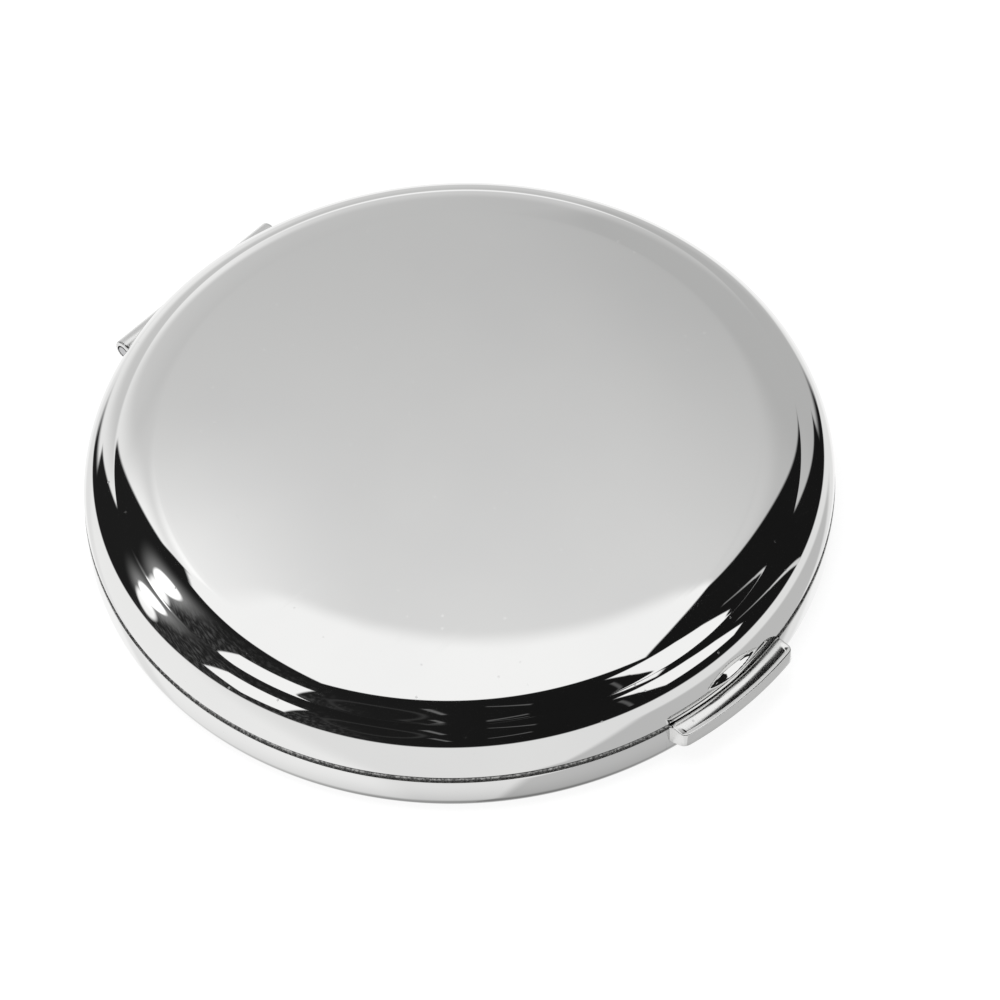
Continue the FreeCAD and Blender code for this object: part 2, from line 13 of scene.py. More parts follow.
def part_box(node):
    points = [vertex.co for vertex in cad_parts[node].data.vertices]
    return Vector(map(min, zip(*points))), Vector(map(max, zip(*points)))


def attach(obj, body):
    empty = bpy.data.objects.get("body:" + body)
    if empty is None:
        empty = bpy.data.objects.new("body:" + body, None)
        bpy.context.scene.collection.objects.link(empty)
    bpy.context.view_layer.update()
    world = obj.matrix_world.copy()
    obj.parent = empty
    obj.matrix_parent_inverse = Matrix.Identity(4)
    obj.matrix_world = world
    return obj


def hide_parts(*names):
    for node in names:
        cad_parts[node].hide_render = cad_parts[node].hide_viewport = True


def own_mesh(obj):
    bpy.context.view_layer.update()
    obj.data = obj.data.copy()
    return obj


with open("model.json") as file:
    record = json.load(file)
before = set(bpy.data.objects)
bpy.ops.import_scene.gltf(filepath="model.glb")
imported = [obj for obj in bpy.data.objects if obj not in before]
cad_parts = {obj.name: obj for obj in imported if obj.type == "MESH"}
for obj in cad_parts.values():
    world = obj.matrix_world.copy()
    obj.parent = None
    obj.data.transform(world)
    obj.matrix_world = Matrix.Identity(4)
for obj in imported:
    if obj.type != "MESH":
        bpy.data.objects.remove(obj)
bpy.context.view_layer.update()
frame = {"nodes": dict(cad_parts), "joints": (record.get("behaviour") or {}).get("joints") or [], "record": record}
nodes = frame["nodes"]

MM = 0.001


def node_box(name):
    """Lowest and highest corner of a CAD node in millimetres."""
    low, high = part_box(name)
    return low / MM, high / MM


# Sizes read from the frame

base_high = node_box("base_shell")[1]
lid_low, lid_high = node_box("lid_shell")
button_low, button_high = node_box("push_button")
leaf_low, leaf_high = node_box("base_hinge_leaf")
spring_low, spring_high = node_box("latch_spring")
CASE_RADIUS = base_high.x
BASE_TOP = base_high.z
LID_RIM = lid_low.z
LID_TOP = lid_high.z
PARTING = (BASE_TOP + LID_RIM) / 2
BUTTON_TOP = button_high.z
BUTTON_OUTER = -button_low.y
HINGE_Y, HINGE_Z = [frame["joints"][0]["pos_m"][axis] / MM for axis in (1, 2)]
BARREL_RADIUS = leaf_high.y - HINGE_Y
BARREL_HALF = leaf_high.x

# Case, as in the CAD source
WALL = 0.8
LID_ROLL = 4.3
COVE_CIRCLE = CASE_RADIUS - 2.8
CROWN_ROLL = 6.7
COVE_LEAN = 47.8
DOME_EDGE = 4.0
NOTCH_BELOW = 1.35
NOTCH_ABOVE = 1.35
SLOT_HALF_WIDTH = 7.55
SLOT_FLOOR = 2.65

# Case, where it differs from the CAD source
NOTCH_HALF_WIDTH = 10.3
ROLL_WIDE = 4.85
ROLL_TALL = 4.55
COVE_EASE = 0.12
COVE_STEPS = 6
RIM_ROUND = 0.12
LID_EDGE_ROUND = 0.1
BASE_WALL_LOW = 2.0
BASE_WALL_LEAN = 6.0
BASE_LEDGE = 0.28
LEDGE_ROUND = 0.03
DIMPLE_MIDDLE = 0.8
DIMPLE_HALF = 3.2
DIMPLE_REACH = 1.2
DIMPLE_LOW = 5.95
DIMPLE_HIGH = 7.5
DIMPLE_LOW_BEND = 0.6
DIMPLE_HIGH_BEND = 0.85
DIMPLE_FLOOR_SLOPE = 1.25
DIMPLE_ROOF_SLOPE = 0.6
DIMPLE_SOFT = 0.1

# Button, as in the CAD source
BUTTON_HALF = 7.25
BUTTON_CORNER = 0.8
BUTTON_BOTTOM = 2.8
BUTTON_FACE_LOW = 3.65
FLANGE_TOP = 4.05

# Button, where it differs from the CAD source
BUTTON_BACK = 33.7
FLANGE_FRONT = 32.9
BUTTON_ROUND = 0.14
BUTTON_CREST = 0.42
BUTTON_LEAN = 0.09
BUTTON_INNER_ROWS = [34.6, 35.0, 35.2]
BUTTON_COLUMNS = 140
BUTTON_EDGE_TURNS = (22.5, 45.0, 67.5, 90.0)
SCOOP_START = 35.4
SCOOP_VALLEY = 36.45
SCOOP_RADIUS = 2.3
LIP_START = 36.6
LIP_DROP = 0.06
SCOOP_END = 0.55
SCOOP_ROWS = 48
WEB_SIDE_INSET = 0.05
WEB_LAP = 0.2
WEB_LIFT = 0.03

# Hinge leaves, as in the CAD source
KNUCKLES = 3
KNUCKLE_GAP = 0.15
LEAF_THICKNESS = 0.4
LEAF_SET_BACK = 0.15

# Hinge leaves, where they differ from the CAD source
RIVET_PROUD = 0.02
BARREL_BORE = 0.66
BARREL_END_ROUND = 0.3
BARREL_TURN_STEP = 6

# Latch spring
SPRING_THICKNESS = 0.15
SPRING_STEPS = 32

# Fineness of the meshes, in degrees. Edges sharper than the first angle stay crisp.
SHARP_ANGLE = 28.0
DOME_STEP = 0.06
ROLL_STEP = 1.0
EDGE_STEP = 7.5
ROUND_STEP = 30.0
INNER_STEP = 3.0
INNER_DOME_STEP = 0.4
LID_FINE_HALF = 15.0
LID_FINE_STEP = 0.2
BASE_FINE_HALF = 2.0
BASE_FINE_STEP = 1.0
BASE_CORNER_STEP = 2.0
BASE_WALL_STEP = 0.5
BASE_LEDGE_STEP = 15.0
BASE_INNER_CORNER_STEP = 9.0

# Turns at which the arcs of the lid's inside start and end, in degrees
INNER_ROLL_TURNS = (3.0, 60.0)
INNER_CROWN_START = 44.0

# Fineness of the base's straight runs
UNDERSIDE_STEP = 4.0
INNER_WALL_STEP = 0.6
INNER_FLOOR_STEP = 6.0

# Photograph: its camera, fitted to the case's own circles
CAMERA_AZIMUTH = -43.4
CAMERA_ELEVATION = 51.13
CAMERA_ROLL = 2.94
CAMERA_DISTANCE = 3500.0
CAMERA_RIGHT = -3.78
CAMERA_DOWN = -1.365
FOCAL_SHARE = 37.58
SENSOR = 36.0
CLIP_START = 0.01
CLIP_END = 100.0


# Node building blocks

class Graph:
    """A node tree with short calls: an input may be a socket or a plain number."""

    def __init__(self, tree):
        self.tree = tree
        tree.nodes.clear()

    def add(self, kind, **settings):
        node = self.tree.nodes.new(kind)
        for name, value in settings.items():
            setattr(node, name, value)
        return node

    def feed(self, socket, value):
        if isinstance(value, bpy.types.NodeSocket):
            self.tree.links.new(value, socket)
        else:
            socket.default_value = value

    def math(self, operation, *values):
        node = self.add("ShaderNodeMath", operation=operation)
        for socket, value in zip(node.inputs, values):
            self.feed(socket, value)
        return node.outputs[0]

    def step(self, value, start, end, low=0.0, high=1.0):
        """Smooth step from low to high while the value goes from start to end."""
        node = self.add("ShaderNodeMapRange", interpolation_type="SMOOTHSTEP")
        for name, number in (("From Min", start), ("From Max", end), ("To Min", low), ("To Max", high)):
            self.feed(node.inputs[name], number)
        self.feed(node.inputs["Value"], value)
        return node.outputs[0]

    def over(self, below, above, mask):
        """A number painted over another where the mask is 1."""
        node = self.add("ShaderNodeMix", data_type="FLOAT")
        self.feed(node.inputs[0], mask)
        self.feed(node.inputs[2], below)
        self.feed(node.inputs[3], above)
        return node.outputs[0]

    def tint(self, dark, light, share):
        """A colour between two others."""
        node = self.add("ShaderNodeMix", data_type="RGBA")
        self.feed(node.inputs[0], share)
        self.feed(node.inputs[6], (*dark, 1.0))
        self.feed(node.inputs[7], (*light, 1.0))
        return node.outputs[2]

    def place(self, stretch=(1.0, 1.0, 1.0)):
        """Place on the object, stretched along its axes."""
        mapping = self.add("ShaderNodeMapping")
        mapping.inputs["Scale"].default_value = stretch
        self.feed(mapping.inputs["Vector"], self.add("ShaderNodeTexCoord").outputs["Object"])
        return mapping.outputs[0]

    def noise(self, scale, detail=2.0, stretch=(1.0, 1.0, 1.0)):
        node = self.add("ShaderNodeTexNoise")
        node.inputs["Scale"].default_value = scale
        node.inputs["Detail"].default_value = detail
        self.feed(node.inputs["Vector"], self.place(stretch))
        return node.outputs["Fac"]

    def specks(self, scale, size):
        """Small round specks, 1 inside and 0 outside."""
        node = self.add("ShaderNodeTexVoronoi")
        node.inputs["Scale"].default_value = scale
        self.feed(node.inputs["Vector"], self.place())
        return self.step(node.outputs["Distance"], size, size * 0.6)

    def bump(self, height, distance):
        node = self.add("ShaderNodeBump")
        node.inputs["Distance"].default_value = distance
        self.feed(node.inputs["Height"], height)
        return node.outputs[0]


def surface(name, metallic=0.0):
    """A new material with one Principled shader."""
    material = bpy.data.materials.new(name)
    material.use_nodes = True
    graph = Graph(material.node_tree)
    shader = graph.add("ShaderNodeBsdfPrincipled")
    shader.inputs["Metallic"].default_value = metallic
    output = graph.add("ShaderNodeOutputMaterial")
    graph.feed(output.inputs["Surface"], shader.outputs[0])
    return material, graph, shader


# Materials

TONE_SCALE = 55.0
HAIRLINE_SCALE = 900.0
HAIRLINE_STRETCH = (0.06, 1.0, 1.0)
SMEAR_SCALE = 160.0
DUST_SCALE = 420.0
DUST_SIZE = 0.075
DUST_ROUGHNESS = 0.2
WAVE_SCALE = 140.0
WAVE_HEIGHT = 0.0000012
STEEL_GRAIN_SCALE = 2400.0
STEEL_GRAIN_STRETCH = (0.05, 1.0, 1.0)
STEEL_GRAIN_HEIGHT = 0.000004
GLASS_SMEAR_SCALE = 90.0
GLASS_ROUGHNESS = 0.006
GLASS_SMEAR_ROUGHNESS = 0.03
PLASTIC_GRAIN_SCALE = 5200.0
PLASTIC_TONE_SCALE = 120.0
PLASTIC_GRAIN_HEIGHT = 0.00002
FOAM_CELL_SCALE = 3800.0
FOAM_CELL_HEIGHT = 0.00006
MOTTLE_SCALE = 4200.0
MOTTLE_HEIGHT = 0.00003


def bright_plating(name, light, dark, polish, wear):
    """Polished plating: faint tone changes, hairlines and dust in the gloss."""
    material, graph, shader = surface(name, 1.0)
    tone = graph.noise(TONE_SCALE, 3.0)
    graph.feed(shader.inputs["Base Color"], graph.tint(dark, light, graph.step(tone, 0.3, 0.65)))
    hairlines = graph.step(graph.noise(HAIRLINE_SCALE, 2.0, HAIRLINE_STRETCH), 0.62, 0.74)
    smears = graph.step(graph.noise(SMEAR_SCALE, 4.0), 0.45, 0.8)
    dust = graph.specks(DUST_SCALE, DUST_SIZE)
    gloss = graph.math("ADD", polish, graph.math("MULTIPLY", smears, wear))
    gloss = graph.math("ADD", gloss, graph.math("MULTIPLY", hairlines, wear))
    gloss = graph.math("ADD", gloss, graph.math("MULTIPLY", dust, DUST_ROUGHNESS))
    graph.feed(shader.inputs["Roughness"], gloss)
    graph.feed(shader.inputs["Normal"], graph.bump(graph.noise(WAVE_SCALE, 2.0), WAVE_HEIGHT))
    return material


def brushed_steel():
    """Plain steel brushed one way."""
    material, graph, shader = surface("inner_steel", 1.0)
    grain = graph.noise(STEEL_GRAIN_SCALE, 3.0, STEEL_GRAIN_STRETCH)
    graph.feed(shader.inputs["Base Color"], graph.tint((0.5, 0.5, 0.51), (0.68, 0.68, 0.69), grain))
    graph.feed(shader.inputs["Roughness"], graph.step(grain, 0.2, 0.8, 0.22, 0.38))
    graph.feed(shader.inputs["Normal"], graph.bump(grain, STEEL_GRAIN_HEIGHT))
    return material


def silvered_glass():
    """Mirror glass with faint smears under a clear coat."""
    material, graph, shader = surface("mirror_glass", 1.0)
    smears = graph.step(graph.noise(GLASS_SMEAR_SCALE, 4.0), 0.5, 0.85)
    graph.feed(shader.inputs["Base Color"], graph.tint((0.9, 0.92, 0.915), (0.87, 0.895, 0.885), smears))
    dull = graph.math("MULTIPLY", smears, GLASS_SMEAR_ROUGHNESS)
    graph.feed(shader.inputs["Roughness"], graph.math("ADD", GLASS_ROUGHNESS, dull))
    shader.inputs["Coat Weight"].default_value = 0.4
    shader.inputs["Coat Roughness"].default_value = 0.01
    return material


def moulded_plastic():
    """Dark plastic with a fine moulded grain."""
    material, graph, shader = surface("tray_plastic")
    grain = graph.noise(PLASTIC_GRAIN_SCALE, 3.0)
    tone = graph.noise(PLASTIC_TONE_SCALE, 2.0)
    graph.feed(shader.inputs["Base Color"], graph.tint((0.06, 0.06, 0.065), (0.1, 0.1, 0.105), tone))
    graph.feed(shader.inputs["Roughness"], graph.step(grain, 0.25, 0.75, 0.42, 0.62))
    graph.feed(shader.inputs["Normal"], graph.bump(grain, PLASTIC_GRAIN_HEIGHT))
    return material


def foam():
    """Pale foam with fine cells."""
    material, graph, shader = surface("pad_foam")
    cells = graph.noise(FOAM_CELL_SCALE, 2.0)
    graph.feed(shader.inputs["Base Color"], graph.tint((0.72, 0.72, 0.69), (0.84, 0.84, 0.81), cells))
    shader.inputs["Roughness"].default_value = 0.95
    graph.feed(shader.inputs["Normal"], graph.bump(cells, FOAM_CELL_HEIGHT))
    return material


def shaded_parting_rim():
    """Rim in the parting line: mottled grey metal, rough, its dark colour painted shade under the lid's edge."""
    material, graph, shader = surface("shaded_parting_rim", 1.0)
    mottle = graph.noise(MOTTLE_SCALE, 4.0)
    share = graph.step(mottle, 0.35, 0.7)
    graph.feed(shader.inputs["Base Color"], graph.tint((0.13, 0.13, 0.13), (0.5, 0.5, 0.49), share))
    graph.feed(shader.inputs["Roughness"], graph.step(mottle, 0.3, 0.7, 0.5, 0.28))
    graph.feed(shader.inputs["Normal"], graph.bump(mottle, MOTTLE_HEIGHT))
    return material


MATERIALS = {
    "case_metal": bright_plating("case_metal", (0.87, 0.87, 0.862), (0.85, 0.85, 0.845), 0.018, 0.025),
    "satin_metal": bright_plating("satin_metal", (0.84, 0.84, 0.83), (0.8, 0.8, 0.795), 0.11, 0.09),
    "shaded_parting_rim": shaded_parting_rim(),
    "bezel_metal": bright_plating("bezel_metal", (0.83, 0.83, 0.82), (0.8, 0.8, 0.795), 0.05, 0.06),
    "hinge_metal": bright_plating("hinge_metal", (0.88, 0.88, 0.87), (0.83, 0.83, 0.825), 0.24, 0.1),
    "inner_steel": brushed_steel(),
    "mirror_glass": silvered_glass(),
    "tray_plastic": moulded_plastic(),
    "pad_foam": foam(),
}


# Mesh building blocks

def new_piece(name, mesh_maker, body, stands_for, finishes):
    """A piece from a filled bmesh in millimetres, riding on a body in place of a CAD node."""
    mesh = bpy.data.meshes.new(name)
    maker = bmesh.new()
    mesh_maker(maker)
    bmesh.ops.recalc_face_normals(maker, faces=maker.faces)
    bmesh.ops.scale(maker, vec=(MM, MM, MM), verts=maker.verts)
    maker.to_mesh(mesh)
    maker.free()
    mesh.shade_smooth()
    mesh.set_sharp_from_angle(angle=math.radians(SHARP_ANGLE))
    piece = bpy.data.objects.new(name, mesh)
    bpy.context.scene.collection.objects.link(piece)
    for finish in finishes:
        mesh.materials.append(MATERIALS[finish])
    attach(piece, body)
    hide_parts(stands_for)
    return piece


def arc(middle, radius, start, end, step, stops=()):
    """Points of an arc in the outline plane, with extra ones at given heights."""
    count = max(1, math.ceil(abs(end - start) / step))
    angles = [start + (end - start) * index / count for index in range(count + 1)]
    for height in stops:
        angle = math.degrees(math.asin((height - middle[1]) / radius))
        if min(start, end) < angle < max(start, end):
            angles = [other for other in angles if abs(other - angle) > step * 0.3]
            angles.append(angle)
    angles.sort(reverse=end < start)
    return [(middle[0] + radius * math.cos(math.radians(angle)),
             middle[1] + radius * math.sin(math.radians(angle))) for angle in angles]


def straight(start, end, step):
    """Points of a straight stretch of an outline, without its first one."""
    count = max(1, math.ceil(math.dist(start, end) / step))
    return [(start[0] + (end[0] - start[0]) * index / count, start[1] + (end[1] - start[1]) * index / count)
            for index in range(1, count + 1)]


def column_angles(doors, fine_half, fine_step):
    """Angles round the axis from the front: each degree, finer at the front, and each door edge."""
    edges = [middle + side * half for middle, half, rows in doors for side in (-1, 1)]
    fine_count = round(fine_half / fine_step)
    angles = [index * fine_step for index in range(-fine_count, fine_count + 1)]
    angles += [float(degree) for degree in range(math.ceil(fine_half) + 1, 360 - math.ceil(fine_half))]
    kept = [angle for angle in angles if all(abs(angle - edge) > fine_step * 0.5 for edge in edges)]
    return sorted(kept + edges)


def turn_shell(maker, outline, doors, fine_half, fine_step, push=None):
    """Closed shell turned from an outline that runs from the axis over the rim and back to the axis.

    A door is a middle angle, half an angle and the pair of outline rows between which the rim is cut away.
    """
    angles = column_angles(doors, fine_half, fine_step)
    columns = []
    first = maker.verts.new((0.0, 0.0, outline[0][1]))
    last = maker.verts.new((0.0, 0.0, outline[-1][1]))
    for angle in angles:
        turn = math.radians(angle)
        points = [Vector((r * math.sin(turn), -r * math.cos(turn), z)) for r, z in outline[1:-1]]
        if push:
            points = [push(point, row) for row, point in enumerate(points, start=1)]
        columns.append([first] + [maker.verts.new(point) for point in points] + [last])
    for index, column in enumerate(columns):
        after = columns[(index + 1) % len(columns)]
        middle = angles[index] + ((angles[(index + 1) % len(angles)] - angles[index]) % 360.0) / 2
        cut = [rows for door, half, rows in doors if abs((middle - door + 180.0) % 360.0 - 180.0) < half]
        for row in range(len(outline) - 1):
            if any(rows[0] <= row < rows[1] for rows in cut):
                continue
            corners = [column[row], column[row + 1], after[row + 1], after[row]]
            maker.faces.new(list(dict.fromkeys(corners)))
        for rows in cut:
            maker.faces.new([column[rows[0]], after[rows[0]], after[rows[1]], column[rows[1]]])
    for door, half, rows in doors:
        for side in (-1, 1):
            column = columns[angles.index(door + side * half)]
            maker.faces.new(column[rows[0]:rows[1] + 1])
    drop_unused(maker)


def drop_unused(maker):
    """Remove the points that no face uses."""
    bmesh.ops.delete(maker, geom=[vert for vert in maker.verts if not vert.link_faces], context="VERTS")


def rows_at(outline, height):
    """The outer and the inner outline row at a height of the wall."""
    rows = [row for row, (r, z) in enumerate(outline) if abs(z - height) < 1e-6 and r > CASE_RADIUS / 2]
    return rows[0], rows[-1]


# Lid

ROLL_MIDDLE = (CASE_RADIUS - LID_ROLL, LID_RIM)
COVE_HEIGHT = LID_RIM + math.sqrt(LID_ROLL ** 2 - (COVE_CIRCLE - ROLL_MIDDLE[0]) ** 2)
CROWN_MIDDLE = (COVE_CIRCLE - CROWN_ROLL * math.cos(math.radians(COVE_LEAN)),
                COVE_HEIGHT - CROWN_ROLL * math.sin(math.radians(COVE_LEAN)))
DOME_RADIUS = CROWN_ROLL + CROWN_MIDDLE[0] / math.sin(math.radians(DOME_EDGE))
DOME_MIDDLE = (0.0, LID_TOP - DOME_RADIUS)
LID_NOTCH_TOP = PARTING + NOTCH_ABOVE


def roll_height(radius):
    """Height of the lid's roll, an oval in section, at a radius."""
    share = (radius - CASE_RADIUS + ROLL_WIDE) / ROLL_WIDE
    return LID_RIM + ROLL_TALL * math.sqrt(1.0 - share * share)


def crown_height(radius):
    """Height of the lid's crown at a radius."""
    return CROWN_MIDDLE[1] + math.sqrt(CROWN_ROLL ** 2 - (radius - CROWN_MIDDLE[0]) ** 2)


def cove_radius():
    """Radius at which the crown runs down into the roll."""
    inner, outer = CROWN_MIDDLE[0], COVE_CIRCLE + 1.0
    for halving in range(40):
        middle = (inner + outer) / 2
        if crown_height(middle) > roll_height(middle):
            inner = middle
        else:
            outer = middle
    return inner


def cove_points(radius):
    """Eased cove between the crown and the roll, from the crown's side."""
    start = Vector((radius - COVE_EASE, crown_height(radius - COVE_EASE)))
    middle = Vector((radius, crown_height(radius)))
    end = Vector((radius + COVE_EASE, roll_height(radius + COVE_EASE)))
    shares = [index / COVE_STEPS for index in range(COVE_STEPS + 1)]
    points = [start * (1 - t) ** 2 + middle * 2 * t * (1 - t) + end * t * t for t in shares]
    return [tuple(point) for point in points]


def roll_arc(start, end, step, stops):
    """Points of the lid's oval roll between two turns of its drawing circle."""
    unit = arc((0.0, 0.0), 1.0, start, end, step, [(height - LID_RIM) / ROLL_TALL for height in stops])
    return [(CASE_RADIUS - ROLL_WIDE + ROLL_WIDE * x, LID_RIM + ROLL_TALL * y) for x, y in unit]


def lid_outline():
    """Lid section from the top's middle down the outside, round the rim and back up the inside."""
    cove = cove_radius()
    crown_end = math.degrees(math.acos((cove - COVE_EASE - CROWN_MIDDLE[0]) / CROWN_ROLL))
    roll_start = math.degrees(math.acos((cove + COVE_EASE - CASE_RADIUS + ROLL_WIDE) / ROLL_WIDE))
    dome_end = 90.0 - DOME_EDGE
    rim_low = math.degrees(math.asin(LID_EDGE_ROUND / ROLL_TALL))
    stops = (LID_NOTCH_TOP,)
    points = arc(DOME_MIDDLE, DOME_RADIUS, 90.0, dome_end, DOME_STEP)
    points += arc(CROWN_MIDDLE, CROWN_ROLL, dome_end, crown_end, ROLL_STEP)[1:]
    points += cove_points(cove)[1:]
    points += roll_arc(roll_start, rim_low, ROLL_STEP, stops)[1:]
    outer_round = (CASE_RADIUS - LID_EDGE_ROUND, LID_RIM + LID_EDGE_ROUND)
    points += arc(outer_round, LID_EDGE_ROUND, 0.0, -90.0, EDGE_STEP)[1:]
    inner_round = (CASE_RADIUS - WALL + RIM_ROUND, LID_RIM + RIM_ROUND)
    points += arc(inner_round, RIM_ROUND, -90.0, -180.0, ROUND_STEP)
    points += arc(ROLL_MIDDLE, LID_ROLL - WALL, *INNER_ROLL_TURNS, INNER_STEP, stops)
    points += arc(CROWN_MIDDLE, CROWN_ROLL - WALL, INNER_CROWN_START, dome_end, INNER_STEP)
    points += arc(DOME_MIDDLE, DOME_RADIUS - WALL, dome_end, 90.0, INNER_DOME_STEP)[1:]
    return points


def soft_least(first, second, width):
    """The smaller of two numbers, blended where they differ by less than a width."""
    share = min(max(0.5 + 0.5 * (second - first) / width, 0.0), 1.0)
    return second + (first - second) * share - width * share * (1.0 - share)


def press_dimple(point, row, last_row):
    """Push a point of the lid's outside inwards where it lies in the thumb dimple: a floor under a roof."""
    across = (point.x - DIMPLE_MIDDLE) / DIMPLE_HALF
    if row > last_row or point.y > 0.0 or abs(across) > DIMPLE_REACH:
        return point
    floor = (point.z - DIMPLE_LOW - DIMPLE_LOW_BEND * across ** 2) * DIMPLE_FLOOR_SLOPE
    roof = (DIMPLE_HIGH - DIMPLE_HIGH_BEND * across ** 2 - point.z) * DIMPLE_ROOF_SLOPE
    depth = -soft_least(-soft_least(floor, roof, DIMPLE_SOFT), 0.0, DIMPLE_SOFT)
    radius = math.hypot(point.x, point.y)
    return point - Vector((point.x, point.y, 0.0)) * depth / radius


def fill_lid(maker):
    outline = lid_outline()
    rim_row = min(range(len(outline)), key=lambda row: (outline[row][1], -outline[row][0]))
    half = math.degrees(math.asin(NOTCH_HALF_WIDTH / CASE_RADIUS))
    doors = [(180.0, half, rows_at(outline, LID_NOTCH_TOP))]

    def push(point, row):
        return press_dimple(point, row, rim_row)

    turn_shell(maker, outline, doors, LID_FINE_HALF, LID_FINE_STEP, push)


# Base

BASE_NOTCH_FLOOR = PARTING - NOTCH_BELOW


def base_outline():
    """Base section from the underside's middle up the outside, over the rim and back down the inside."""
    wall_top = BASE_TOP - BASE_LEDGE - LEDGE_ROUND
    lean = math.radians(BASE_WALL_LEAN)
    bulge = (wall_top - BASE_WALL_LOW) / math.sin(lean)
    corner = BASE_WALL_LOW / (1.0 - math.sin(lean))
    corner_middle = (CASE_RADIUS - bulge + (bulge - corner) * math.cos(lean), corner)
    stops = (SLOT_FLOOR, BASE_NOTCH_FLOOR)
    points = [(0.0, 0.0)]
    points += straight((0.0, 0.0), (corner_middle[0], 0.0), UNDERSIDE_STEP)
    points += arc(corner_middle, corner, -90.0, -BASE_WALL_LEAN, BASE_CORNER_STEP)[1:]
    bulge_middle = (CASE_RADIUS - bulge, wall_top)
    points += arc(bulge_middle, bulge, -BASE_WALL_LEAN, 0.0, BASE_WALL_STEP, stops)[1:]
    points += arc((CASE_RADIUS - LEDGE_ROUND, wall_top), LEDGE_ROUND, 0.0, 90.0, ROUND_STEP)[1:]
    points += arc((CASE_RADIUS - LEDGE_ROUND, BASE_TOP), BASE_LEDGE, -90.0, -180.0, BASE_LEDGE_STEP)[1:]
    inner = CASE_RADIUS - WALL
    points += arc((inner + RIM_ROUND, BASE_TOP - RIM_ROUND), RIM_ROUND, 90.0, 180.0, ROUND_STEP)
    for height in (BASE_NOTCH_FLOOR, SLOT_FLOOR, corner):
        points += straight(points[-1], (inner, height), INNER_WALL_STEP)
    inner_middle = (inner - corner + WALL, corner)
    points += arc(inner_middle, corner - WALL, 0.0, -90.0, BASE_INNER_CORNER_STEP)[1:]
    points += straight(points[-1], (0.0, WALL), INNER_FLOOR_STEP)
    return points


def fill_base(maker):
    outline = base_outline()
    notch_half = math.degrees(math.asin(NOTCH_HALF_WIDTH / CASE_RADIUS))
    slot_half = math.degrees(math.asin(SLOT_HALF_WIDTH / CASE_RADIUS))
    doors = [(180.0, notch_half, rows_at(outline, BASE_NOTCH_FLOOR)),
             (0.0, slot_half, rows_at(outline, SLOT_FLOOR))]
    turn_shell(maker, outline, doors, BASE_FINE_HALF, BASE_FINE_STEP)
    # The outer ledge in the parting line takes the second finish, darkened with painted shade.
    for face in maker.faces:
        middle = face.calc_center_median()
        outside = math.hypot(middle.x, middle.y) > CASE_RADIUS - LEDGE_ROUND - BASE_LEDGE
        face.material_index = 1 if outside and middle.z > BASE_TOP - BASE_LEDGE else 0


# Button

CORNER_MIDDLE_X = BUTTON_HALF - BUTTON_CORNER
CORNER_MIDDLE_Y = -math.sqrt((BUTTON_OUTER - BUTTON_CORNER) ** 2 - CORNER_MIDDLE_X ** 2)


def button_reach(radius, inset):
    """Half the button's width along a circle about the case's axis, for an outline drawn in by an inset."""
    corner = BUTTON_CORNER - inset
    middle = math.hypot(CORNER_MIDDLE_X, CORNER_MIDDLE_Y)
    side = BUTTON_HALF - inset
    if side * side + CORNER_MIDDLE_Y ** 2 >= radius * radius:
        return side
    along = (middle ** 2 + radius ** 2 - corner ** 2) / (2 * middle)
    aside = math.sqrt(max(0.0, radius ** 2 - along ** 2))
    unit = (CORNER_MIDDLE_X / middle, CORNER_MIDDLE_Y / middle)
    return along * unit[0] - aside * unit[1]


def top_height(radius, spare):
    """Height of the button's top: a slight rise, a hollow and a lip, closed where little width is spare."""
    away = min(max(radius - SCOOP_START, 0.0), SCOOP_VALLEY - SCOOP_START)
    drop = SCOOP_RADIUS - math.sqrt(SCOOP_RADIUS ** 2 - away ** 2)
    climb = min(max((radius - SCOOP_VALLEY) / (LIP_START - SCOOP_VALLEY), 0.0), 1.0)
    drop += (LIP_DROP - drop) * climb * climb * (3.0 - 2.0 * climb)
    end = min(max(spare / SCOOP_END, 0.0), 1.0)
    rim = LIP_DROP * min(max((radius - SCOOP_START) / (LIP_START - SCOOP_START), 0.0), 1.0)
    rim += BUTTON_LEAN * max(SCOOP_START - radius, 0.0)
    return BUTTON_TOP + BUTTON_CREST - rim - (drop - rim) * end * end * (3.0 - 2.0 * end)


def under_height(radius, spare):
    """Height of the button's underside, which rises outside the case over its whole width."""
    share = (radius - CASE_RADIUS) / (BUTTON_OUTER - CASE_RADIUS)
    return BUTTON_BOTTOM + max(0.0, share) * (BUTTON_FACE_LOW - BUTTON_BOTTOM)


def outward(point):
    """Direction out of the button's plan outline at a point near its edge."""
    radius = math.hypot(point.x, point.y)
    if abs(point.x) <= CORNER_MIDDLE_X * radius / (BUTTON_OUTER - BUTTON_CORNER):
        return Vector((point.x / radius, point.y / radius, 0.0))
    if point.y > CORNER_MIDDLE_Y:
        return Vector((math.copysign(1.0, point.x), 0.0, 0.0))
    way = Vector((abs(point.x) - CORNER_MIDDLE_X, point.y - CORNER_MIDDLE_Y, 0.0)).normalized()
    return Vector((math.copysign(way.x, point.x), way.y, 0.0))


def button_grid(maker, radii, height):
    """Rows of points on the button's plan at a height that a function gives, the first row straight."""
    grid = []
    for radius in radii:
        reach = button_reach(radius, BUTTON_ROUND)
        row = []
        for index in range(BUTTON_COLUMNS + 1):
            x = reach * (2.0 * index / BUTTON_COLUMNS - 1.0)
            y = -BUTTON_BACK if radius == BUTTON_BACK else -math.sqrt(radius ** 2 - x * x)
            row.append(maker.verts.new((x, y, height(radius, reach - abs(x)))))
        grid.append(row)
    join_rows(maker, grid)
    return grid


def button_edge(grid):
    """Points along a grid's two sides and its outer row, in one line."""
    return [row[0] for row in grid] + grid[-1][1:-1] + [row[-1] for row in reversed(grid)]


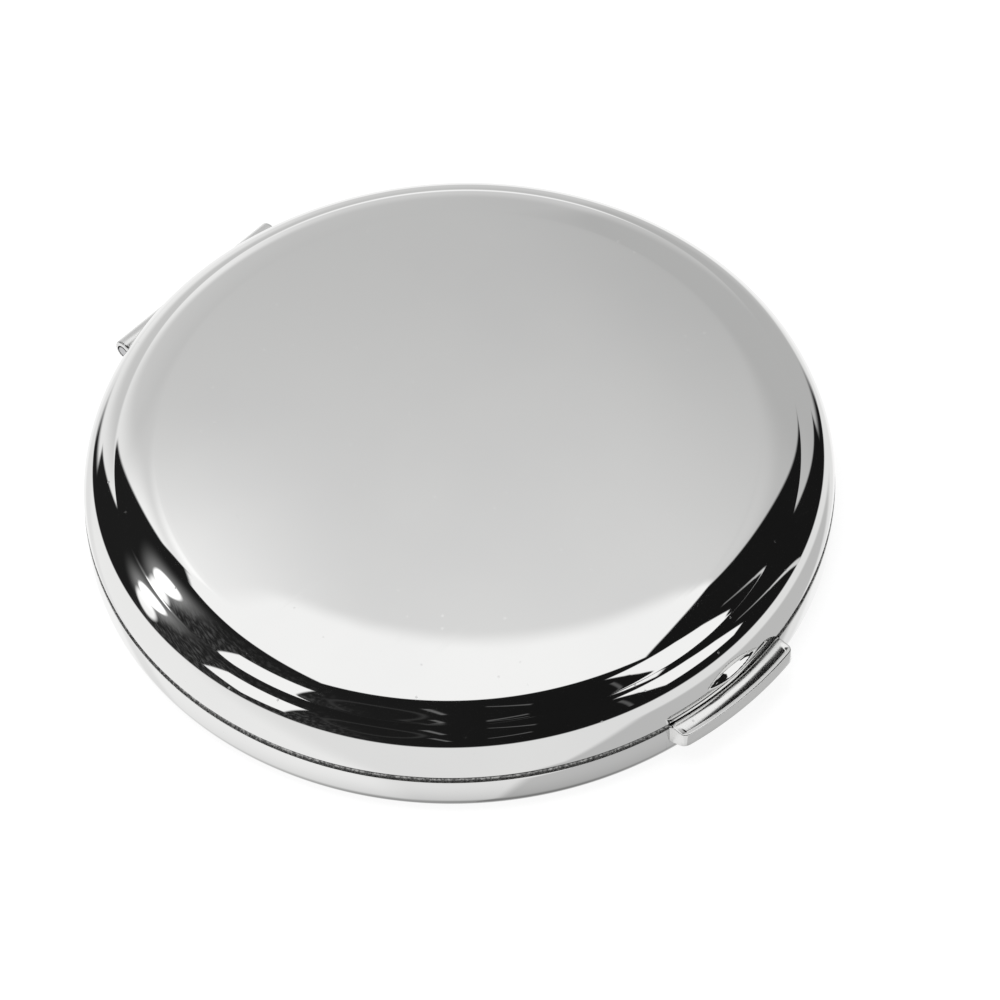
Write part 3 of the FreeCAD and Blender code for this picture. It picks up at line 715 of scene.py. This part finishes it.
def fill_button(maker):
    """Curved bar: a top and an underside joined by a rounded edge, with the flange behind it."""
    rim = BUTTON_OUTER - BUTTON_ROUND
    pitch = (rim - SCOOP_START) / SCOOP_ROWS
    radii = [BUTTON_BACK] + BUTTON_INNER_ROWS
    radii += [SCOOP_START + pitch * index for index in range(SCOOP_ROWS + 1)]
    top = button_grid(maker, radii, top_height)
    under = button_grid(maker, radii, under_height)
    top_edge = button_edge(top)
    under_edge = button_edge(under)
    strips = [top_edge]
    for degrees in BUTTON_EDGE_TURNS:
        strips.append([edge_point(maker, vert, degrees, -1.0) for vert in top_edge])
    for degrees in reversed(BUTTON_EDGE_TURNS):
        strips.append([edge_point(maker, vert, degrees, 1.0) for vert in under_edge])
    strips.append(under_edge)
    join_rows(maker, strips)
    inner = [strip[0] for strip in strips]
    outer = [strip[-1] for strip in strips]
    maker.faces.new(inner + under[0][1:-1] + outer[::-1] + top[0][-2:0:-1])
    flange_low = (-button_high.x, -FLANGE_FRONT, button_low.z)
    add_block(maker, flange_low, (button_high.x, button_high.y, FLANGE_TOP))
    web_half = BUTTON_HALF - WEB_SIDE_INSET
    web_low = (-web_half, -BUTTON_BACK - WEB_LAP, BUTTON_BOTTOM + WEB_LIFT)
    add_block(maker, web_low, (web_half, -FLANGE_FRONT, FLANGE_TOP))


def edge_point(maker, vert, degrees, up):
    """A point of the rounded edge beside a point of the top or the underside."""
    turn = math.radians(degrees)
    out = outward(vert.co) * BUTTON_ROUND * math.sin(turn)
    drop = Vector((0.0, 0.0, BUTTON_ROUND * (1.0 - math.cos(turn)) * up))
    return maker.verts.new(vert.co + out + drop)


def join_rows(maker, rows):
    """Faces between each two neighbouring rows of points."""
    for row, after in zip(rows, rows[1:]):
        for index in range(len(row) - 1):
            maker.faces.new([row[index], row[index + 1], after[index + 1], after[index]])


def add_block(maker, low, high):
    """A plain block between two corners."""
    middle = (Vector(low) + Vector(high)) / 2
    block = bmesh.ops.create_cube(maker, size=1.0)["verts"]
    bmesh.ops.scale(maker, vec=Vector(high) - Vector(low), verts=block)
    bmesh.ops.translate(maker, vec=middle, verts=block)


# Hinge leaves

def fill_leaf(maker, knuckles, plate_low, plate_high):
    """Leaf: a plate, and at each of its knuckles a strap that runs into a tube."""
    pitch = BARREL_HALF * 2 / KNUCKLES
    plate_edge = HINGE_Y - BARREL_RADIUS - LEAF_SET_BACK
    add_block(maker, (-BARREL_HALF, leaf_low.y, plate_low), (BARREL_HALF, plate_edge, plate_high))
    for index in knuckles:
        start = pitch * index - BARREL_HALF
        start += KNUCKLE_GAP / 2 if index else 0.0
        end = pitch * (index + 1) - BARREL_HALF
        end -= KNUCKLE_GAP / 2 if index + 1 < KNUCKLES else 0.0
        inset = BARREL_END_ROUND
        add_block(maker, (start + inset, plate_edge - inset, plate_low), (end - inset, HINGE_Y, plate_high))
        add_tube(maker, start, end)


def add_tube(maker, start, end):
    """A tube about the hinge axis with rounded outer edges."""
    inset = BARREL_END_ROUND
    edge = BARREL_RADIUS - inset
    section = arc((start + inset, edge), inset, 180.0, 90.0, 15.0)
    section += arc((end - inset, edge), inset, 90.0, 0.0, 15.0)
    section += [(end, BARREL_BORE), (start, BARREL_BORE)]
    rings = []
    for turn in range(0, 360, BARREL_TURN_STEP):
        cosine = math.cos(math.radians(turn))
        sine = math.sin(math.radians(turn))
        rings.append([maker.verts.new((x, HINGE_Y + r * cosine, HINGE_Z + r * sine)) for x, r in section])
    for ring, after in zip(rings, rings[1:] + rings[:1]):
        for index in range(len(section)):
            past = (index + 1) % len(section)
            maker.faces.new([ring[index], ring[past], after[past], after[index]])


def fill_base_leaf(maker):
    fill_leaf(maker, (0, 2), leaf_low.z, leaf_low.z + LEAF_THICKNESS - RIVET_PROUD)


def fill_lid_leaf(maker):
    high = HINGE_Z + BARREL_RADIUS
    fill_leaf(maker, (1,), high - LEAF_THICKNESS + RIVET_PROUD, high)


# Latch spring

def fill_spring(maker):
    """Leaf bowed towards the slide, its two ends on the tray's wall."""
    span = spring_high.x
    rise = spring_high.y - spring_low.y - SPRING_THICKNESS
    bow = (span ** 2 + rise ** 2) / (2 * rise)
    rows = []
    for index in range(SPRING_STEPS + 1):
        x = span * (2.0 * index / SPRING_STEPS - 1.0)
        back = spring_high.y - math.sqrt(bow ** 2 - x * x) + bow - rise
        front = back - SPRING_THICKNESS
        corners = [(back, spring_low.z), (back, spring_high.z), (front, spring_high.z), (front, spring_low.z)]
        rows.append([maker.verts.new((x, y, z)) for y, z in corners])
    join_rows(maker, [row + row[:1] for row in rows])
    maker.faces.new(rows[0])
    maker.faces.new(rows[-1][::-1])


new_piece("lid_case", fill_lid, "lid", "lid_shell", ["case_metal"])
new_piece("base_case", fill_base, "base", "base_shell", ["case_metal", "shaded_parting_rim"])
new_piece("button_bar", fill_button, "button", "push_button", ["satin_metal"])
new_piece("base_hinge", fill_base_leaf, "base", "base_hinge_leaf", ["hinge_metal"])
new_piece("lid_hinge", fill_lid_leaf, "lid", "lid_hinge_leaf", ["hinge_metal"])
spring = new_piece("latch_leaf", fill_spring, "base", "latch_spring", ["inner_steel"])
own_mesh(spring)


# CAD nodes that stay

for part in frame["record"]["subparts"]:
    node = nodes[part["node"]]
    node.data.materials.clear()
    node.data.materials.append(MATERIALS[part["material_slot"]])


# Studio

def camera_axes():
    """Right, down and forward of the photograph's camera."""
    turn = math.radians(CAMERA_AZIMUTH)
    lift = math.radians(CAMERA_ELEVATION)
    roll = math.radians(CAMERA_ROLL)
    right = Vector((math.cos(turn), math.sin(turn), 0.0))
    level = Vector((-math.sin(turn), math.cos(turn), 0.0))
    forward = level * math.cos(lift) - Vector((0.0, 0.0, math.sin(lift)))
    down = forward.cross(right)
    rolled_right = right * math.cos(roll) + down * math.sin(roll)
    rolled_down = down * math.cos(roll) - right * math.sin(roll)
    return rolled_right, rolled_down, forward


def make_camera():
    """Camera at the photograph's angle, far off and narrow."""
    right, down, forward = camera_axes()
    data = bpy.data.cameras.new("camera")
    data.sensor_width = SENSOR
    data.lens = SENSOR * FOCAL_SHARE
    data.clip_start = CLIP_START
    data.clip_end = CLIP_END
    camera = bpy.data.objects.new("camera", data)
    bpy.context.scene.collection.objects.link(camera)
    back = right * CAMERA_RIGHT + down * CAMERA_DOWN + forward * CAMERA_DISTANCE
    spot = (Vector((0.0, 0.0, PARTING)) - back) * MM
    turn = Matrix((right, -down, -forward)).transposed()
    camera.matrix_world = Matrix.Translation(spot) @ turn.to_4x4()
    bpy.context.scene.camera = camera


class Surround:
    """What the bright metal reflects, drawn round the zenith in degrees.

    u runs to the right and v towards the photograph's camera, both fixed in the world.
    """

    def __init__(self, graph):
        self.graph = graph
        turn = math.radians(CAMERA_AZIMUTH)
        direction = graph.add("ShaderNodeTexCoord").outputs["Generated"]
        right = self.along(direction, (math.cos(turn), math.sin(turn), 0.0))
        near = self.along(direction, (math.sin(turn), -math.cos(turn), 0.0))
        up = self.along(direction, (0.0, 0.0, 1.0))
        self.lean = graph.math("DEGREES", graph.math("ARCCOSINE", up))
        level = graph.math("SQRT", graph.math("ADD", graph.math("MULTIPLY", right, right),
                                              graph.math("MULTIPLY", near, near)))
        reach = graph.math("DIVIDE", self.lean, graph.math("MAXIMUM", level, 0.000001))
        self.u = graph.math("MULTIPLY", right, reach)
        self.v = graph.math("MULTIPLY", near, reach)

    def along(self, direction, axis):
        node = self.graph.add("ShaderNodeVectorMath", operation="DOT_PRODUCT")
        self.graph.feed(node.inputs[0], direction)
        node.inputs[1].default_value = axis
        return node.outputs["Value"]

    def line(self, across, along, start):
        """Signed distance from a straight edge: across times u, plus along times v, less its start."""
        graph = self.graph
        aside = graph.math("MULTIPLY", self.u, across)
        ahead = graph.math("MULTIPLY", self.v, along)
        return graph.math("SUBTRACT", graph.math("ADD", aside, ahead), start)

    def oval(self, middle, radii, soft, tilt=0.0):
        """1 inside an oval and 0 outside, its long axis turned by a tilt."""
        graph = self.graph
        turn = math.radians(tilt)
        cosine, sine = math.cos(turn), math.sin(turn)
        a = self.line(cosine, sine, cosine * middle[0] + sine * middle[1])
        b = self.line(-sine, cosine, cosine * middle[1] - sine * middle[0])
        a = graph.math("DIVIDE", a, radii[0])
        b = graph.math("DIVIDE", b, radii[1])
        squares = graph.math("ADD", graph.math("MULTIPLY", a, a), graph.math("MULTIPLY", b, b))
        return graph.step(graph.math("SQRT", squares), 1.0 + soft, 1.0 - soft)

    def panel(self, corners, soft):
        """1 inside a convex panel and 0 outside. Its corners run clockwise on paper with v downwards."""
        graph = self.graph
        inside = None
        for start, end in zip(corners, corners[1:] + corners[:1]):
            way = Vector((end[0] - start[0], end[1] - start[1])).normalized()
            edge = self.line(-way.y, way.x, -way.y * start[0] + way.x * start[1])
            inside = edge if inside is None else graph.math("MINIMUM", inside, edge)
        return graph.step(inside, -soft, soft)

    def smears(self):
        """Cloudy streaks across the surround."""
        graph = self.graph
        joined = graph.add("ShaderNodeCombineXYZ")
        cosine, sine = STREAK_WAY
        graph.feed(joined.inputs[0], graph.math("MULTIPLY", self.line(cosine, sine, 0.0), STREAK_FINE))
        graph.feed(joined.inputs[1], graph.math("MULTIPLY", self.line(-sine, cosine, 0.0), STREAK_LONG))
        node = graph.add("ShaderNodeTexNoise", noise_dimensions="2D")
        node.inputs["Detail"].default_value = 4.0
        node.inputs["Scale"].default_value = 1.0
        graph.feed(node.inputs["Vector"], joined.outputs[0])
        return node.outputs["Fac"]


# Places of the surround in degrees, and radiances, of which about 1 is white. A fade runs between its first
# two numbers, and where it has four, the last two are the values there.
TABLE_FADE = (-50.0, -85.0, 0.83, 0.93)
CARD_MIDDLE = (2.0, -28.0)
CARD_RADII = (95.3, 105.8)
CARD_SOFT = 0.03
CARD_SIDE = (1.0, 0.0, 57.0)
CARD_SLANT = (0.725, 0.689, 122.5)
CARD_FADE = (-5.0, 5.0)
CARD_LIGHT = 0.55
WALL_FADE = (-60.0, -80.0)
WALL_LIGHT = 0.84
FAR_WALL_FADE = (-94.0, -112.0)
FAR_WALL_LIGHT = 0.98
SHADE_FADE = (142.0, 172.0, 1.0, 0.35)

ROOM_MIDDLE = (0.0, -34.0)
ROOM_RADII = (83.5, 88.5)
ROOM_SOFT = 0.014
ROOM_FAR_FADE = (-92.0, -76.0)
ROOM_FADE = (20.0, -40.0, 0.009, 0.0135)
GLEAM_SIDE = (-18.0, -48.0)
GLEAM_NEAR = (-20.0, -6.0)
GLEAM_FADE = (0.4, 0.75, 0.004, 0.07)
STREAK_WAY = (0.8, 0.6)
STREAK_FINE = 0.9
STREAK_LONG = 0.25

LENS_MIDDLE = (-19.0, 27.0)
LENS_OUTER = (10.4, 9.8)
LENS_OUTER_SOFT = 0.08
LENS_INNER = (9.2, 8.6)
LENS_INNER_SOFT = 0.1
LENS_LIGHT = 0.04
STAND = [(-8.0, 16.5), (-6.6, 16.5), (-4.6, 25.0), (-5.6, 25.4)]
STAND_LIGHT = 0.16
FOOT = [(-9.0, 33.5), (-7.6, 33.5), (-4.6, 40.0), (-5.8, 40.4)]
FOOT_LIGHT = 0.14
PLATE = [(2.5, 14.4), (10.5, 19.4), (10.5, 20.8), (2.5, 15.2)]
SHELF = [(3.5, 36.6), (12.0, 33.4), (12.5, 34.8), (3.5, 37.4)]
PLATE_LIGHT = 0.12
CABLE = [(26.0, 19.0), (26.8, 18.6), (38.0, 34.0), (37.0, 34.6)]
CABLE_SOFT = 0.4
CABLE_LIGHT = 0.1

BACKDROP_MIDDLE = (0.5, -60.0)
BACKDROP_RADII = (59.5, 34.9)
BACKDROP_SOFT = 0.02
BACKDROP_TILT = 7.0
FAR_RADII = (67.0, 49.0)
FAR_SOFT = 0.06
FAR_HALF = (-57.0, -61.0)
WEDGE_SIDE = (-11.0, -13.0)
WEDGE_NEAR = (-30.6, -29.9)
BACKDROP_LIGHT = 0.567
LEFT_SLOPE = -0.0019
LEFT_LIMIT = 5.0
FOLD_MIDDLE = -48.0
FOLD_BEND = 0.3
FOLD_FADE = (0.5, 5.5, 0.0, -0.07)
CLIMB = (-48.5, -28.5)
RISE_FADE = (8.0, 40.0, 0.225, 0.07)
CORNER_SIDE = (-2.0, -10.0)
CORNER_NEAR = (-41.5, -33.0, 0.0, 0.42)
CORNER_END = (-7.0, -20.0, 1.0, 0.0)
EDGE_RADII = (50.0, 29.3)
EDGE_SOFT = 0.19
EDGE_FADE = (-8.0, -30.0, 0.0, 0.2)
BACKDROP_TOP = (-80.0, -100.0, 0.0, 0.1)

LAMP_MIDDLE = (-48.5, -16.8)
LAMP_RADII = (9.0, 4.4)
LAMP_SOFT = 0.12
LAMP_TILT = -8.0
REFLECTOR_MIDDLE = (-63.0, -12.5)
REFLECTOR_RADII = (9.5, 4.6)
REFLECTOR_SOFT = 0.25
REFLECTOR_TILT = -25.0
GLARE_RADII = (14.0, 7.0)
GLARE_SOFT = 0.85
GLARE_POWER = 1.6
GLARE_LIGHT = 0.35

BOX_LIGHT = 1.02
PANEL_SOFT = 0.5
OVERHEAD_BOX = [(-22.3, -16.0), (-22.6, -25.0), (-17.0, -29.6), (-6.0, -34.0), (4.0, -34.5), (15.4, -25.8),
                (21.5, -10.0), (26.0, 3.5), (-19.5, 1.6)]
OVERHEAD_MIDDLE = 0.7
OVERHEAD_BOW = 0.075
OVERHEAD_EDGE = (-32.3, -31.6)
LEFT_BOX = [(-56.0, 9.0), (-39.5, 3.5), (-27.5, 14.5), (-42.5, 29.0), (-53.0, 22.0)]
RIGHT_BOX = [(20.0, 13.0), (33.0, 3.3), (40.0, 1.5), (53.0, 2.0), (55.5, 8.0), (51.0, 13.0), (46.0, 19.0),
             (41.0, 24.5), (34.0, 19.7)]
GLINT = [(43.0, -4.4), (82.0, -19.0), (82.0, -16.0), (43.0, -3.6)]
GLINT_SOFT = 0.6
GLINT_FADE = (42.0, 64.0, 0.3, 1.0)
GLINT_LIGHT = 0.7


def paint_surround(graph):
    """Radiance of the studio: pale table, dark room, grey backdrop and white soft boxes."""
    sky = Surround(graph)
    light = table_light(graph, sky)
    room = sky.oval(ROOM_MIDDLE, ROOM_RADII, ROOM_SOFT)
    room = graph.math("MULTIPLY", room, graph.step(sky.v, *ROOM_FAR_FADE))
    light = graph.over(light, room_light(graph, sky), room)
    light = graph.over(light, backdrop_light(graph, sky), backdrop_mask(graph, sky))
    light = graph.math("ADD", light, left_lamp(graph, sky))
    glint = graph.math("MULTIPLY", sky.panel(GLINT, GLINT_SOFT), graph.step(sky.u, *GLINT_FADE))
    light = graph.over(light, GLINT_LIGHT, glint)
    light = graph.over(light, BOX_LIGHT, overhead_box(graph, sky))
    for corners in (LEFT_BOX, RIGHT_BOX):
        light = graph.over(light, BOX_LIGHT, sky.panel(corners, PANEL_SOFT))
    return light


def left_lamp(graph, sky):
    """Small bright lamp on the left, its reflector beside it, and their glare."""
    core = sky.oval(LAMP_MIDDLE, LAMP_RADII, LAMP_SOFT, LAMP_TILT)
    reflector = sky.oval(REFLECTOR_MIDDLE, REFLECTOR_RADII, REFLECTOR_SOFT, REFLECTOR_TILT)
    glare = sky.oval(LAMP_MIDDLE, GLARE_RADII, GLARE_SOFT, LAMP_TILT)
    glare = graph.math("MULTIPLY", graph.math("POWER", glare, GLARE_POWER), GLARE_LIGHT)
    return graph.math("ADD", graph.math("MAXIMUM", core, reflector), glare)


def overhead_box(graph, sky):
    """White box overhead, its far edge bowed."""
    panel = sky.panel(OVERHEAD_BOX, PANEL_SOFT)
    aside = graph.math("SUBTRACT", sky.u, OVERHEAD_MIDDLE)
    bow = graph.math("MULTIPLY", graph.math("MULTIPLY", aside, aside), OVERHEAD_BOW)
    edge = graph.math("ADD", sky.v, bow)
    return graph.math("MULTIPLY", panel, graph.step(edge, *OVERHEAD_EDGE))


def table_light(graph, sky):
    """Pale table and walls, a grey card on the right, and the object's own shade straight below."""
    light = graph.step(sky.u, *TABLE_FADE)
    beyond = graph.math("SUBTRACT", 1.0, sky.oval(CARD_MIDDLE, CARD_RADII, CARD_SOFT))
    edge = graph.math("MAXIMUM", sky.line(*CARD_SIDE), sky.line(*CARD_SLANT))
    card = graph.math("MULTIPLY", beyond, graph.step(edge, *CARD_FADE))
    light = graph.over(light, CARD_LIGHT, card)
    light = graph.over(light, WALL_LIGHT, graph.step(sky.v, *WALL_FADE))
    light = graph.over(light, FAR_WALL_LIGHT, graph.step(sky.v, *FAR_WALL_FADE))
    return graph.math("MULTIPLY", light, graph.step(sky.lean, *SHADE_FADE))


def room_light(graph, sky):
    """Dark room with faint streaks on its left and a dim mirror image of the camera."""
    light = graph.step(sky.u, *ROOM_FADE)
    left = graph.math("MULTIPLY", graph.step(sky.u, *GLEAM_SIDE), graph.step(sky.v, *GLEAM_NEAR))
    gleam = graph.math("MULTIPLY", graph.step(sky.smears(), *GLEAM_FADE), left)
    light = graph.math("ADD", light, gleam)
    for mask, value in camera_image(graph, sky):
        light = graph.over(light, value, mask)
    return light


def camera_image(graph, sky):
    """Dim thin shapes of the camera and its stand, as masks and values."""
    inside = graph.math("SUBTRACT", 1.0, sky.oval(LENS_MIDDLE, LENS_INNER, LENS_INNER_SOFT))
    ring = graph.math("MULTIPLY", sky.oval(LENS_MIDDLE, LENS_OUTER, LENS_OUTER_SOFT), inside)
    shapes = [(ring, LENS_LIGHT)]
    parts = [(STAND, STAND_LIGHT), (FOOT, FOOT_LIGHT), (PLATE, PLATE_LIGHT), (SHELF, PLATE_LIGHT)]
    for corners, light in parts:
        shapes.append((sky.panel(corners, PANEL_SOFT), light))
    shapes.append((sky.panel(CABLE, CABLE_SOFT), CABLE_LIGHT))
    return shapes


def backdrop_mask(graph, sky):
    """1 on the grey backdrop: a near half with a nick at its left, and a wider far half."""
    near_half = sky.oval(BACKDROP_MIDDLE, BACKDROP_RADII, BACKDROP_SOFT, BACKDROP_TILT)
    wedge = graph.math("MULTIPLY", graph.step(sky.u, *WEDGE_SIDE), graph.step(sky.v, *WEDGE_NEAR))
    near_half = graph.math("MULTIPLY", near_half, graph.math("SUBTRACT", 1.0, wedge))
    far_half = sky.oval(BACKDROP_MIDDLE, FAR_RADII, FAR_SOFT)
    far_half = graph.math("MULTIPLY", far_half, graph.step(sky.v, *FAR_HALF))
    return graph.math("MAXIMUM", near_half, far_half)


def backdrop_light(graph, sky):
    """Grey backdrop: a fold on the right, and brighter at its left edge, far off and by the overhead box."""
    left = graph.math("MULTIPLY", graph.math("MINIMUM", sky.u, LEFT_LIMIT), LEFT_SLOPE)
    beside = graph.math("ABSOLUTE", graph.math("SUBTRACT", sky.v, FOLD_MIDDLE))
    bend = graph.math("MULTIPLY", beside, FOLD_BEND)
    fold = graph.step(graph.math("SUBTRACT", sky.u, bend), *FOLD_FADE)
    rise = graph.math("MULTIPLY", graph.step(sky.v, *CLIMB), graph.step(sky.u, *RISE_FADE))
    corner = graph.math("MULTIPLY", graph.step(sky.u, *CORNER_SIDE), graph.step(sky.v, *CORNER_NEAR))
    corner = graph.math("MULTIPLY", corner, graph.step(sky.u, *CORNER_END))
    inner = sky.oval(BACKDROP_MIDDLE, EDGE_RADII, EDGE_SOFT, BACKDROP_TILT)
    rim = graph.math("MULTIPLY", graph.math("SUBTRACT", 1.0, inner), graph.step(sky.u, *EDGE_FADE))
    total = BACKDROP_LIGHT
    for part in (left, fold, rise, corner, rim, graph.step(sky.v, *BACKDROP_TOP)):
        total = graph.math("ADD", total, part)
    return total


DIFFUSE_LIGHT = 0.75
BACKGROUND_LIGHT = 1.0


def make_world():
    """White to the camera, the painted studio to bright metal, and even soft light for the rest."""
    world = bpy.data.worlds.new("studio")
    bpy.context.scene.world = world
    world.use_nodes = True
    graph = Graph(world.node_tree)
    rays = graph.add("ShaderNodeLightPath")
    mirrored = paint_surround(graph)
    value = graph.over(DIFFUSE_LIGHT, mirrored, rays.outputs["Is Glossy Ray"])
    value = graph.over(value, BACKGROUND_LIGHT, rays.outputs["Is Camera Ray"])
    background = graph.add("ShaderNodeBackground")
    graph.feed(background.inputs["Color"], value)
    output = graph.add("ShaderNodeOutputWorld")
    graph.feed(output.inputs["Surface"], background.outputs[0])


FLOOR_HALF = 1.5
FLOOR_COLOUR = 0.8
FLOOR_SEEN_COLOUR = 0.28
FLOOR_SEEN_GLOW = 0.8


def make_floor():
    """Pale floor: white to the camera with the object's soft shadow. Bright metal sees the painted table."""
    material = bpy.data.materials.new("floor")
    material.use_nodes = True
    graph = Graph(material.node_tree)
    camera = graph.add("ShaderNodeLightPath").outputs["Is Camera Ray"]
    diffuse = graph.add("ShaderNodeBsdfDiffuse")
    graph.feed(diffuse.inputs["Color"], graph.over(FLOOR_COLOUR, FLOOR_SEEN_COLOUR, camera))
    emission = graph.add("ShaderNodeEmission")
    graph.feed(emission.inputs["Strength"], graph.over(0.0, FLOOR_SEEN_GLOW, camera))
    both = graph.add("ShaderNodeAddShader")
    graph.feed(both.inputs[0], diffuse.outputs[0])
    graph.feed(both.inputs[1], emission.outputs[0])
    output = graph.add("ShaderNodeOutputMaterial")
    graph.feed(output.inputs["Surface"], both.outputs[0])
    mesh = bpy.data.meshes.new("floor")
    half = FLOOR_HALF
    corners = [(-half, -half), (half, -half), (half, half), (-half, half)]
    mesh.from_pydata([(x, y, 0.0) for x, y in corners], [], [(0, 1, 2, 3)])
    mesh.materials.append(material)
    floor = bpy.data.objects.new("floor", mesh)
    floor.visible_glossy = False
    bpy.context.scene.collection.objects.link(floor)


SOFT_LAMP_SIZE = 0.5
SOFT_LAMP_POWER = 2.0
SOFT_LAMP_PLACE = (-0.1, 0.1, 0.6)


def make_lamp():
    """One large soft lamp overhead for the plain surfaces; bright metal sees the painted boxes instead."""
    data = bpy.data.lights.new("soft_lamp", "AREA")
    data.shape = "SQUARE"
    data.size = SOFT_LAMP_SIZE
    data.energy = SOFT_LAMP_POWER
    lamp = bpy.data.objects.new("soft_lamp", data)
    lamp.location = SOFT_LAMP_PLACE
    lamp.rotation_euler = Vector(lamp.location).to_track_quat("Z", "Y").to_euler()
    lamp.visible_glossy = False
    bpy.context.scene.collection.objects.link(lamp)


make_camera()
make_world()
make_floor()
make_lamp()
bpy.context.scene.view_settings.view_transform = "Standard"
